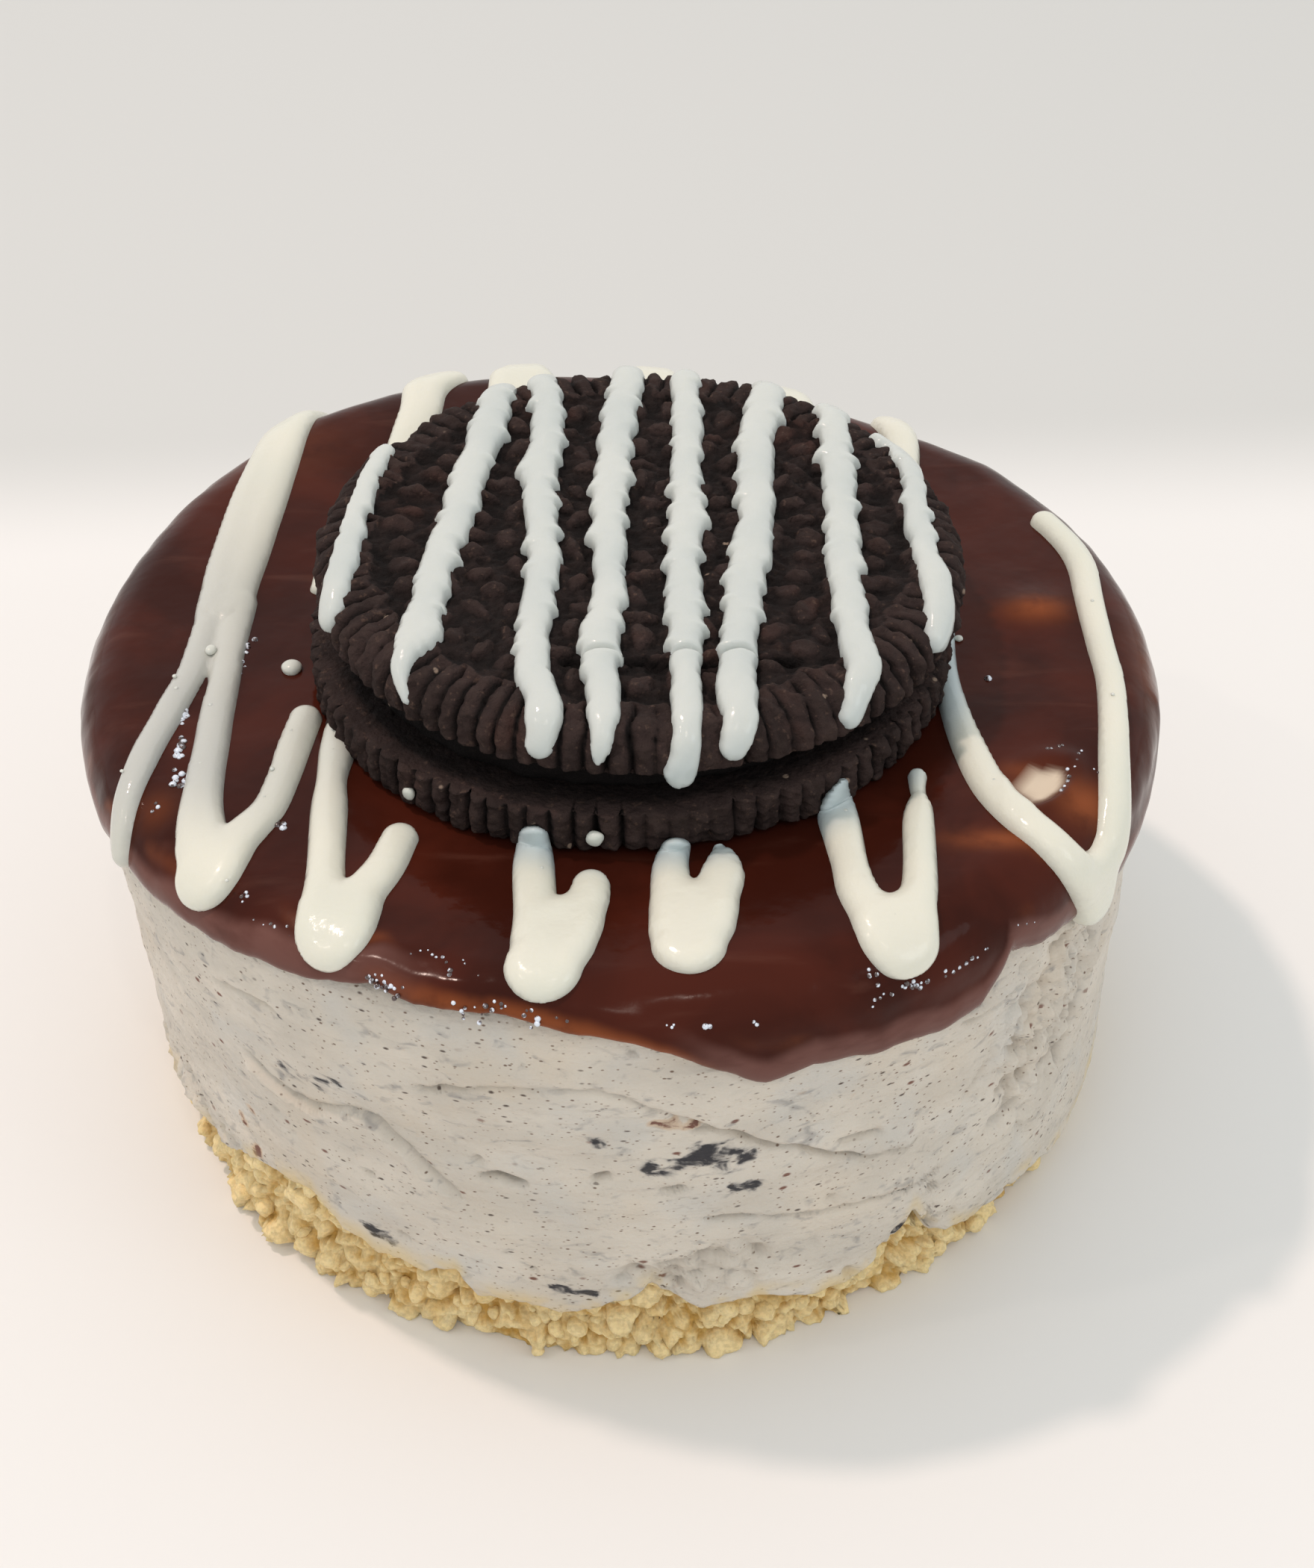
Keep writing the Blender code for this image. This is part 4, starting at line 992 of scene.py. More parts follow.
def cheese_finish(colour):
    """Moist cheesecake: slow mottling, fine dark and reddish specks stretched along the wall,
    ragged dark pieces and stains where the masks say, painted shade where the wall lies deep in
    its grooves, pits and tears, and a fine grain."""
    finish = Finish("Cheesecake", 0.55, 0.30)
    dark, red, crumby = finish.masks("wall")
    mottle = finish.noise(0.007, 3.0, (1.0, 1.0, 1.8))
    base = finish.mix(finish.step(mottle, 0.3, 0.7), [c * 0.92 for c in colour], [c * 1.06 for c in colour])
    base = finish.patches(base, (0.0055, 2.0, 0.52, 0.72, 0.45, (0.56, 0.55, 0.52)))
    warm = finish.step(finish.noise(0.0085, 2.0, distortion=0.5), 0.54, 0.72, 0.0, 0.40)
    base = finish.mix(warm, base, (0.64, 0.545, 0.43))
    for size, scale, share, shade in (
            (0.00062, (1.0, 1.0, 1.8), 0.20, (0.26, 0.19, 0.14)),
            (0.00105, (1.0, 1.0, 2.0), 0.17, (0.15, 0.09, 0.06)),
            (0.00190, (1.0, 1.0, 2.4), 0.15, (0.07, 0.045, 0.035)),
            (0.0034, (1.0, 1.0, 2.0), 0.12, (0.15, 0.045, 0.025))):
        near = finish.cells(size, scale)
        chance = finish.step(finish.noise(size * 4.0, 2.0), 0.34, 0.54)
        speck = finish.maths("MULTIPLY", finish.step(near, share, share * 0.4, 0.0, 0.92), chance)
        base = finish.mix(speck, base, shade)
    ragged = finish.noise(0.0010, 6.0, (1.0, 1.0, 1.7), 0.4)
    shreds = finish.noise(0.0014, 8.0, (0.8, 0.8, 1.7), 0.6)
    broken = finish.maths("ADD", dark, finish.maths("MULTIPLY", finish.maths("SUBTRACT", shreds, 0.5), 3.4))
    base = finish.mix(finish.step(broken, 0.20, 0.95, 0.0, 0.62), base, (0.20, 0.195, 0.20))
    inner = finish.step(dark, 0.10, 0.30)
    inner = finish.maths("MULTIPLY", inner, finish.step(broken, 0.52, 1.00, 0.0, 0.95))
    base = finish.mix(inner, base, (0.016, 0.016, 0.022))
    rusty = finish.maths("ADD", red, finish.maths("MULTIPLY", finish.maths("SUBTRACT", ragged, 0.5), 1.4))
    base = finish.mix(finish.step(rusty, 0.20, 0.60, 0.0, 0.45), base, (0.52, 0.31, 0.15))
    base = finish.mix(finish.step(rusty, 0.62, 0.85, 0.0, 0.9), base, (0.13, 0.035, 0.022))
    # Painted shade: the wall is darkened where it lies deep in its grooves, pits and tears
    shade_depth, _, _ = finish.masks("cavity")
    base = finish.mix(finish.step(shade_depth, 0.15, 1.0, 0.0, 0.72), base, (0.20, 0.155, 0.115))
    golden = finish.maths("MULTIPLY", crumby, finish.step(finish.noise(0.0035, 3.0), 0.40, 0.60, 0.0, 0.65))
    base = finish.mix(golden, base, (0.70, 0.52, 0.22))
    normal = finish.bump(finish.noise(0.00045, 4.0), 0.00012)
    normal = finish.bump(finish.noise(0.0017, 4.0, (0.5, 0.5, 1.6)), 0.00030, normal)
    finish.soft(0.10, (1.0, 0.75, 0.55), 0.0008)
    return finish.done(base, normal, finish.step(finish.noise(0.003), 0.3, 0.7, 0.45, 0.65))


def crumb_finish(colour):
    """Golden crumbs: painted shade, darker and deeper golden, in the gaps, painted light on the tops, and a
    fine sandy grain.
    """
    finish = Finish("Crumbs", 0.75, 0.25)
    top, _, _ = finish.masks("crumb")
    # Painted shade and light: darker, deeper golden colour in the gaps, the full colour on the tops
    base = finish.mix(finish.step(top, 0.05, 0.70), [colour[0] * 0.66, colour[1] * 0.50, colour[2] * 0.24],
                      colour)
    base = finish.patches(base, (0.0022, 3.0, 0.46, 0.64, 0.6, (0.84, 0.68, 0.38)),
                          (0.0030, 2.0, 0.56, 0.72, 0.5, (0.60, 0.39, 0.13)))
    grain = finish.step(finish.noise(0.00035, 4.0), 0.36, 0.62, 0.88, 1.08)
    base = finish.mix(1.0, base, grain, "MULTIPLY")
    normal = finish.bumps((0.00040, 5.0, 0.00016), (0.0011, 4.0, 0.00030))
    finish.soft(0.15, (1.0, 0.7, 0.35), 0.0008)
    return finish.done(base, normal)


def coat_finish(colour):
    """Glossy chocolate: faint streaks, orange brown where it is thin, mauve brown and lighter
    along a thin lip, and pale where the cheesecake shows through."""
    finish = Finish("Chocolate_coat", 0.16, 0.088)
    lip, thin, bare = finish.masks("coat")
    cloud = finish.noise(0.012, 4.0, distortion=0.8)
    base = finish.mix(finish.step(cloud, 0.35, 0.68), [c * 0.80 for c in colour],
                      [colour[0] * 1.45, colour[1] * 1.35, colour[2] * 1.25])
    streak = finish.step(finish.noise(0.0022, 5.0, (0.22, 1.0, 1.0), 0.4), 0.58, 0.80, 0.0, 0.30)
    base = finish.mix(streak, base, (0.12, 0.045, 0.030))
    broken = finish.maths("MULTIPLY", thin, finish.step(finish.noise(0.0022, 4.0), 0.2, 0.55, 0.35, 1.0))
    base = finish.mix(broken, base, (0.25, 0.066, 0.021))
    torn = finish.step(finish.noise(0.0030, 4.0, (1.0, 1.0, 2.5)), 0.2, 0.6, 0.6, 1.0)
    base = finish.mix(finish.maths("MULTIPLY", lip, torn), base, (0.150, 0.066, 0.054))
    base = finish.mix(bare, base, (0.74, 0.62, 0.48))
    normal = finish.bumps((0.0055, 3.0, 0.00016), (0.0012, 3.0, 0.000020))
    return finish.done(base, normal, finish.step(finish.noise(0.006, 3.0), 0.35, 0.7, 0.10, 0.24))


def bubble_glint_finish():
    """Skins of tiny bubbles: some clear over dark chocolate, some a pale bluish colour painted as glints."""
    finish = Finish("Bubbles", 0.14, 1.0)
    # Painted highlight: pale bluish patches stand for glints in the bubbles
    base = finish.mix(finish.step(finish.noise(0.00045, 2.0), 0.44, 0.56), (0.055, 0.028, 0.026),
                      (0.74, 0.80, 0.90))
    return finish.done(base, finish.bumps((0.0004, 2.0, 0.00002)))


def wafer_finish(colour):
    """Baked cocoa wafer: matte and grainy, painted nearly black in its grooves as shade, with a
    painted highlight of lighter brown on its crests, paler brown grains, redder patches and dust."""
    finish = Finish("Wafer", 0.85, 0.16)
    crest_shading, _, _ = finish.masks("wafer")
    base = finish.mix(finish.step(finish.noise(0.0035, 4.0), 0.35, 0.7), [c * 0.80 for c in colour],
                      [c * 1.30 for c in colour])
    base = finish.patches(base, (0.007, 3.0, 0.56, 0.72, 0.6, (0.048, 0.020, 0.015)),
                          (0.00042, 4.0, 0.58, 0.74, 0.70, (0.095, 0.058, 0.044)))
    # Painted shade and highlight: near black where a point lies low, lighter brown on the highest crests
    high = finish.maths("ADD", crest_shading, finish.maths("MULTIPLY", finish.noise(0.0012, 4.0), 0.35))
    base = finish.mix(finish.step(high, 0.30, 1.05, 0.95, 0.0), base, (0.0040, 0.0026, 0.0024))
    base = finish.mix(finish.step(high, 1.05, 1.40, 0.0, 0.40), base, (0.075, 0.050, 0.041))
    dust = finish.step(finish.cells(0.0034), 0.075, 0.04, 0.0, 0.7)
    base = finish.mix(dust, base, (0.34, 0.25, 0.19))
    return finish.done(base, finish.bumps((0.00050, 5.0, 0.00030), (0.0015, 5.0, 0.00045)))


def icing_finish(name, colour, tint):
    """Smooth icing: glossy, slightly see-through, bluish grey where it is thin."""
    finish = Finish(name, 0.16, 0.40)
    thin, grey, _ = finish.masks("icing")
    base = finish.mix(finish.step(finish.noise(0.009, 3.0), 0.35, 0.68), colour, tint)
    base = finish.mix(grey, base, [c * share for c, share in zip(colour, (0.70, 0.72, 0.78))])
    base = finish.mix(thin, base, (0.47, 0.55, 0.57))
    normal = finish.bumps((0.0013, 3.0, 0.00006), (0.00040, 2.0, 0.000020))
    finish.soft(0.30, (1.0, 0.95, 0.8), 0.0009)
    return finish.done(base, normal, finish.step(finish.noise(0.002, 3.0), 0.35, 0.65, 0.12, 0.24))


def sizes():
    """The scene's sizes."""
    return bpy.context.scene.cake_sizes


def colours(name):
    """One of the scene's colours."""
    return tuple(getattr(bpy.context.scene.cake_colours, name))


class CAKE_OT_cheesecake(bpy.types.Operator):
    """Add the cheesecake round with its smeared wall."""

    bl_idname = "cake.cheesecake"
    bl_label = "Cheesecake"

    def execute(self, context):
        degrees = np.arange(CHEESE_COLUMNS) * 360.0 / CHEESE_COLUMNS
        hem = hem_height(degrees)
        rows = []
        outwards, upwards = lean(degrees)
        for radius in (*TOP_RADII, COAT_FLAT):
            share = between(radius, LEAN_START, COAT_FLAT)
            rows.append((radius + share * outwards, CHEESE_TOP + share * upwards))
        for turn in np.radians(np.arange(15.0, 90.0, 15.0)):
            radius = COAT_FLAT + SHOULDER * math.sin(turn) + outwards
            rows.append((radius, CHEESE_TOP - SHOULDER * (1.0 - math.cos(turn)) + upwards))
        wall = np.linspace(0.0, 1.0, CHEESE_ROWS)[:, None]
        top = CHEESE_TOP - SHOULDER + upwards
        heights = top + (hem + 0.25 - top) * wall
        spread = np.repeat(degrees[None], len(wall), 0)
        radii, shade_depth = wall_radius(spread, heights)
        first, last = len(rows), len(rows) + CHEESE_ROWS
        rows += list(zip(radii, heights))
        rows += [(radii[-1] - 0.12, hem), (radii[-1] - 0.9, hem + 0.25), (34.4, hem + 0.8),
                 (33.0, CHEESE_BOTTOM + 0.2), (15.0, CHEESE_BOTTOM + 0.2)]
        grid = turned_grid(np.radians(degrees), rows)
        masks = [np.zeros(grid.shape[:2]) for _ in range(3)]
        for mask, values in zip(masks, wall_masks(spread, heights, hem[None])):
            mask[first:last] = values
        masks[2][last:] = 1.0
        # How deep each point of the wall lies in a recess, for the painted shade
        cavity = np.zeros(grid.shape[:2])
        cavity[first:last] = shade_depth
        piece = put_mesh("cheese_body", with_poles(grid), turned_faces(*grid.shape[:2]),
                         cheese_finish(colours("cheese")))
        paint(piece, "wall", [pole_values(mask) for mask in masks])
        paint(piece, "cavity", [pole_values(cavity)] * 3)
        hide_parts("cheesecake")
        return {"FINISHED"}


class CAKE_OT_crumbs(bpy.types.Operator):
    """Add the crumb base and its separate crumbs."""

    bl_idname = "cake.crumbs"
    bl_label = "Crumb base"

    def execute(self, context):
        degrees = np.arange(CRUMB_COLUMNS) * 360.0 / CRUMB_COLUMNS
        turn = np.radians(degrees)
        hem = hem_height(degrees)
        top = np.maximum(7.2, hem + 0.5)
        size = sizes().crumb_size / MM
        depth = sizes().crumb_depth / MM
        foot = 0.35 + 0.55 * ripple(ring_points(turn, CRUMB_RADIUS, 0.0), 9.0, 5)
        side = np.linspace(0.0, 1.0, CRUMB_ROWS)[:, None]
        heights = top + (0.15 - top) * side
        tuck = 0.9 * between(heights, hem - 1.0, hem + 0.6)
        high = between(heights, 7.0, 9.0)
        radii = CRUMB_RADIUS + foot * falling(heights, 2.0, 6.0) - tuck + 1.3 * high
        points = ring_points(turn, radii, heights)
        warped = points + 0.5 * wobble(points, 1.3, 95)
        big, big_gap, own = grains(warped, size, 101)
        small, small_gap, own_small = grains(warped, size * 0.5, 111)
        bump = between((big_gap - big) / size, 0.0, 0.28) * (0.35 + own)
        fine = between((small_gap - small) / size * 2.0, 0.0, 0.4) * (0.4 + 0.8 * own_small)
        lumps = 0.9 * bump + 0.30 * fine + 0.75 * rough(points, 2.4, 121, 3)
        room = 1.0 - 0.6 * between(heights, hem - 0.8, hem + 0.2)
        radii = np.minimum(radii + depth * (lumps - 0.75) * room, CRUMB_LIMIT)
        inside = [(20.0, 7.0), (33.4, 7.0), (33.8, top)]
        grid = turned_grid(turn, [*inside, *zip(radii, heights), (radii[-1] - 0.4, 0.0), (32.0, 0.0)])
        # How far each point stands out, for painted shade in the gaps and painted light on the tops
        crest_shading = np.ones(grid.shape[:2])
        crest_shading[len(inside):len(inside) + CRUMB_ROWS] = np.clip(0.55 * bump + 0.45 * fine, 0.0, 1.0)
        piece = put_mesh("crumb_bed", with_poles(grid), turned_faces(*grid.shape[:2]),
                         crumb_finish(colours("crumb")))
        paint(piece, "crumb", [pole_values(crest_shading)] * 3)
        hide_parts("crumb_base")
        draw = np.random.default_rng(12)
        count = sizes().loose_crumbs
        pick = draw.integers(0, CRUMB_COLUMNS, count)
        row = (draw.random(count) ** 0.8 * (CRUMB_ROWS - 3)).astype(int)
        radius = draw.uniform(0.30, 0.95, count)
        away = np.minimum(radii[row, pick] - 0.25 * radius, CRUMB_LIMIT - 0.2 - radius * 0.55)
        centres = ring_points(turn[pick], away, np.maximum(heights[row, pick], radius * 0.9))
        normals = draw.normal(size=(count, 3))
        body, faces = blobs(centres, radius, normals, 7, lumpy=0.32, squash=0.8, columns=8, rows=5)
        body = body + 0.14 * wobble(body, 1.1, 8)
        body[:, 2] = np.maximum(body[:, 2], 0.02)
        loose = put_mesh("crumb_lumps", body, faces, piece.data.materials[0])
        # The loose crumbs take a fixed, fairly high level of the painted light
        paint(loose, "crumb", [0.7] * 3)
        return {"FINISHED"}


class CAKE_OT_coat(bpy.types.Operator):
    """Add the chocolate coat with its thin lip and its bubbles."""

    bl_idname = "cake.coat"
    bl_label = "Chocolate coat"

    def execute(self, context):
        degrees = np.arange(COAT_COLUMNS) * 360.0 / COAT_COLUMNS
        turn = np.radians(degrees)
        edge = coat_edge(degrees)
        start = COAT_FLAT - 1.0
        flat_runs = np.linspace(1.5, start, COAT_FLAT_ROWS)[:, None] * np.ones(COAT_COLUMNS)
        share = np.linspace(0.0, 1.0, COAT_RIM_ROWS + 1)[1:, None] ** 0.9
        runs = np.vstack([flat_runs, start + share * (edge - start)])
        x, y = runs * np.sin(turn), -runs * np.cos(turn)
        left = edge - runs
        under = np.hypot(x - LOWER_CENTRE[0], y - LOWER_CENTRE[1])
        lift = coat_swell(x, y) * falling(runs, 40.0, 43.0) * between(left, 0.0, 3.0)
        lift = lift * between(under, 22.5, 25.0) - 0.12 * falling(under, 22.0, 24.0)
        spots = flat_points(x, y)
        thickening = 0.16 * np.exp(-((left - 1.6) / 0.9) ** 2)
        lift = lift + (thickening + 0.05 * ripple(spots, 2.2, 91)) * falling(left, 5.0, 9.0)
        lift = lift - 0.62 * (1.0 - np.sqrt(1.0 - (1.0 - np.clip(left, 0.0, 1.0)) ** 2))
        thick = COAT_THICKNESS - 0.45 * between(runs, COAT_FLAT, COAT_FLAT + 6.0)
        below_runs = runs[::-6]
        below_lift = -np.maximum(thick[::-6], 0.9)
        below = on_coat(below_runs * np.sin(turn), -below_runs * np.cos(turn), below_lift)
        below[0] = on_coat(edge * np.sin(turn) * 0.997, -edge * np.cos(turn) * 0.997, -0.95)
        grid = np.concatenate([on_coat(x, y, lift), below])
        front = wrapped(degrees)
        drape = between(front, 3.0, 12.0) * falling(front, 62.0, 80.0)
        drape = drape + between(front, -90.0, -76.0) * falling(front, -30.0, -17.0)
        drape = np.clip(drape + between(np.abs(front), 95.0, 110.0), 0.0, 1.0)
        waver = 0.5 * ripple(spots, 5.0, 93)
        lip = drape * falling(left + waver, 1.9, 3.0)
        thin = 0.85 * falling(left + waver, 0.3, 1.5) * (1.0 - 0.75 * drape)
        thin = thin * between(front, -75.0, -55.0)
        band = np.exp(-((left + waver - 3.3) / 0.7) ** 2) * drape * 0.45
        band = band * between(ripple(spots, 4.5, 94), 0.05, 0.6)
        for px, py, half_x, half_y, strength in THIN_PLACES:
            off = ((x - px) / half_x) ** 2 + ((y - py) / half_y) ** 2
            thin = np.maximum(thin, strength * np.exp(-off))
        bare = 0.9 * falling(crater(x, y) + 0.12 * ripple(spots, 0.8, 95), 0.75, 1.35)
        masks = []
        for top in (lip, np.maximum(thin, band), bare):
            masks.append(np.vstack([top, np.repeat(top[-1:], len(below), 0)]))
        piece = put_mesh("glaze_coat", with_poles(grid), turned_faces(*grid.shape[:2]),
                         coat_finish(colours("chocolate")))
        paint(piece, "coat", [pole_values(mask) for mask in masks])
        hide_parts("chocolate_glaze")
        draw = np.random.default_rng(5)
        centres, radii = [], []
        for begin, end, count, scatter, largest in BUBBLE_CHAINS:
            along = (np.arange(count) + draw.uniform(0.2, 0.8, count)) / count
            line = np.array(begin) + along[:, None] * (np.array(end) - np.array(begin))
            centres.append(line + draw.normal(size=(count, 2)) * scatter)
            radii.append(largest * draw.uniform(0.36, 0.85, count))
        centres, radii = np.vstack(centres), np.concatenate(radii)
        base = coat_swell(*centres.T) * 0.6
        foot = on_coat(*centres.T, base - 0.10 * radii)
        out = on_coat(*centres.T, base + 1.0) - foot
        body, faces = blobs(foot, radii, out, 3, lumpy=0.0, squash=0.8, columns=8, rows=4)
        put_mesh("glaze_bubbles", body, faces, bubble_glint_finish())
        return {"FINISHED"}


class CAKE_OT_drizzle(bpy.types.Operator):
    """Add the icing on the coat and the icing stripes on the cookie."""

    bl_idname = "cake.drizzle"
    bl_label = "Icing"

    def execute(self, context):
        cell = sizes().icing_cell / MM
        rise = sizes().icing_rise
        cream = icing_finish("Icing_on_coat", colours("drizzle"), (0.71, 0.71, 0.615))

        def lumpy(x, y, height):
            """Slow ripples, less of them where the icing is low."""
            return 0.035 * ripple(flat_points(x, y), 2.6, 131) * np.minimum(height, 1.0)

        for name, group in (("icing_front", ICING_FRONT), ("icing_back", ICING_BACK)):
            bodies = [icing_body(strokes, on_cake, cell, DRIZZLE_SINK, rise, lumpy, soften=DRIZZLE_SOFTEN)
                      for strokes in group]
            points, faces = joined(bodies)
            piece = put_mesh(name, points, faces, cream, 55.0)
            near = np.hypot(points[:, 0] - LOWER_CENTRE[0], points[:, 1] - LOWER_CENTRE[1])
            thin = falling(near, 22.9, 26.2) * (0.2 + 0.75 * between(points[:, 0], -12.0, -7.0))
            grey = falling(points[:, 0] + 0.25 * points[:, 1], -33.0, -19.0)
            grey = grey * between(points[:, 1], -25.0, -14.0)
            paint(piece, "icing", [thin, grey, grey])

        def cracked(x, y, height):
            """Two sizes of ripples, and a narrow wavy crack across the stripes near CRACK_Y."""
            flat = flat_points(x, y)
            bumps = 0.10 * ripple(flat, 2.1, 133) + 0.04 * ripple(flat, 0.9, 134)
            line = y - CRACK_Y + 0.12 * ripple(flat, 1.5, 135)
            crack = np.exp(-(line / 0.19) ** 2) * between(x, -4.6, -4.2) * falling(x, 8.4, 8.8)
            return bumps * np.minimum(height, 1.0) - (1.1 * height + 0.15) * crack

        ragged = sizes().ragged_edge / MM
        bodies = [icing_body((keys,), on_wafer, cell, STRIPE_SINK, rise * STRIPE_RISE, cracked,
                             ragged=ragged, seed=10 * k)
                  for k, keys in enumerate(ICING_STRIPES)]
        points, faces = joined(bodies)
        white = icing_finish("Icing_stripes", colours("stripes"), (0.55, 0.585, 0.565))
        piece = put_mesh("icing_stripes", points, faces, white, 55.0)
        lowest = np.clip(1.0 - (points[:, 2] - UPPER_HEIGHT) / 2.4, 0.0, 1.0)
        paint(piece, "icing", [0.5 * lowest, 0.0, 0.0])
        drops = np.array(ICING_DROPS)
        beads = np.array(ICING_BEADS)
        foot = on_cake(drops[:, 0], drops[:, 1], drops[:, 3])
        high = on_cake(*beads.T, np.full(len(beads), BEAD_LIFT))
        centres = np.vstack([foot, high])
        normals = np.tile([0.0, 0.0, 1.0], (len(centres), 1))
        low = slice(len(drops) - LOW_DROPS, len(drops))
        normals[low] = foot[low] - np.array([*LOWER_CENTRE, 36.0])
        own = lattice(np.arange(3 * len(beads)).reshape(-1, 3), 3)
        radii = np.concatenate([drops[:, 2], 0.12 + 0.10 * own])
        body, faces = blobs(centres, radii, normals, 9, lumpy=0.15, squash=0.7, columns=20, rows=12)
        piece = put_mesh("icing_drops", body, faces, cream)
        paint(piece, "icing", [0.3, 0.0, 0.0])
        return {"FINISHED"}


def wafer_grid(columns, face_rings, bevel, side_rows):
    """A wafer in its own frame with its patterned face up: a grid of rows from the middle of the
    top, over the bevel, down the side and back under, with teeth round the side, ridges on the
    bevel and rings of low bumps in the field. Also gives how deep each point lies, 0 in the
    grooves and 1 on the crests, which the material turns into painted shade in the grooves and a
    painted highlight on the crests."""
    rim = COOKIE_RADIUS - bevel
    turn = np.arange(columns) * 2.0 * np.pi / columns
    bend = np.radians(np.linspace(7.0, 90.0, 17))
    field = np.linspace(0.3, rim, face_rings)
    radii = np.concatenate([field, rim + bevel * np.sin(bend)])
    curve = WAFER_THICKNESS - bevel * (1.0 - np.cos(bend))
    side = np.linspace(WAFER_THICKNESS - bevel - 0.15, 0.15, side_rows)
    radii = np.concatenate([radii, np.full(side_rows, COOKIE_RADIUS), [COOKIE_RADIUS - 0.4, 20.5, 16.0]])
    heights = np.concatenate([np.full(face_rings, WAFER_THICKNESS), curve, side, [0.0, 0.0, 0.0]])
    radius = radii[:, None] * np.ones(columns)
    height = heights[:, None] * np.ones(columns)
    spots = ring_points(turn, radius, height)
    x, y = spots[..., 0], spots[..., 1]
    flat = spots * [1.0, 1.0, 0.0]
    upper = height > 0.1
    slope = between(radius, rim - 0.3, COOKIE_RADIUS)
    bent = turn + (0.34 * ripple(flat, 2.6, 141) + 0.55 * ripple(flat, 9.0, 140)) / np.maximum(radius, 4.0)
    wave = np.abs(np.cos(COOKIE_TEETH / 2.0 * bent))
    tooth = np.sqrt(1.0 - (1.0 - wave) ** 2)
    worn = 0.5 * np.exp(-((np.degrees(turn) - WORN_ANGLE) / 20.0) ** 2)
    strength = np.clip(0.85 + 0.65 * ripple(flat, 5.0, 147) - worn, 0.15, 1.15)
    inner_end = 18.8 + 1.1 * ripple(flat, 1.6, 142)
    ridge = between(radius, inner_end, inner_end + 0.8) * upper
    groove = ridge * strength * (1.0 - tooth)
    field_drop = 0.42 * falling(radius, inner_end - 0.5, inner_end + 0.4) * upper
    warp_radius = radius + 0.70 * ripple(flat, 2.4, 148)
    warp_turn = turn + 0.75 * ripple(flat, 2.6, 149) / np.maximum(radius, 3.0)
    bumps = np.zeros_like(radius)
    for number, (ring, count, long, wide, rise) in enumerate(WAFER_RINGS):
        cellwise = (warp_turn + 0.4 * number) * count / (2.0 * np.pi)
        across = ((cellwise + 0.5) % 1.0 - 0.5) * 2.0 * np.pi * ring / count
        off = (np.abs(across) / (wide / 2.0)) ** 2.2 + (np.abs(warp_radius - ring) / (long / 2.0)) ** 2.2
        bumps = np.maximum(bumps, rise * np.sqrt(np.clip(1.0 - off, 0.0, 1.0)))
    bumps = bumps * (heights[:, None] > WAFER_THICKNESS - 0.01) * (0.85 + 0.45 * ripple(flat, 3.2, 150))
    crust = (0.30 * rough(spots, 1.5, 143) + 0.13 * rough(spots, 0.55, 144, 2)) * upper
    chip = np.exp(-(((x - CHIP_CENTRE[0]) / 1.1) ** 2 + (y - CHIP_CENTRE[1]) ** 2)) * upper
    crack = np.exp(-((y - CRACK_Y + 0.1 + 0.35 * ripple(spots, 1.6, 145)) / 0.18) ** 2)
    crack = crack * between(x, -5.6, -5.0) * falling(x, 10.0, 10.6) * upper
    low = -0.25 * between(-y, 14.1, 14.5) * between(x, -6.0, -4.0) * falling(x, 9.0, 11.0) * upper
    total = bumps - field_drop - 0.90 * groove + crust - 0.6 * chip - 0.8 * crack + low
    radius = radius + total * slope * 0.95
    height = height + total * (1.0 - 0.75 * slope) * upper
    hem = between(radius, 20.6, 22.0)
    jagged = 0.5 * np.exp(-((np.degrees(turn) - 180.0) / 60.0) ** 2)
    radius = radius + (0.20 * rough(spots, 0.9, 146, 2) + (0.34 + jagged) * (tooth - 0.6) * strength) * hem
    height = height + 0.5 * jagged * (tooth - 0.5) * hem * upper
    grid = ring_points(turn, radius, height)
    # Painted shade and highlight for the material: low in the grooves, crack and chip, high on the crests
    crest_shading = np.where(slope > 0.0, 1.0 - groove * 1.5, 0.35 + bumps * 1.5) + 0.8 * crust - crack - 0.5 * chip
    return grid, np.where(ridge > 0.02, 1.0 - groove * 2.1 + 0.8 * crust, crest_shading)


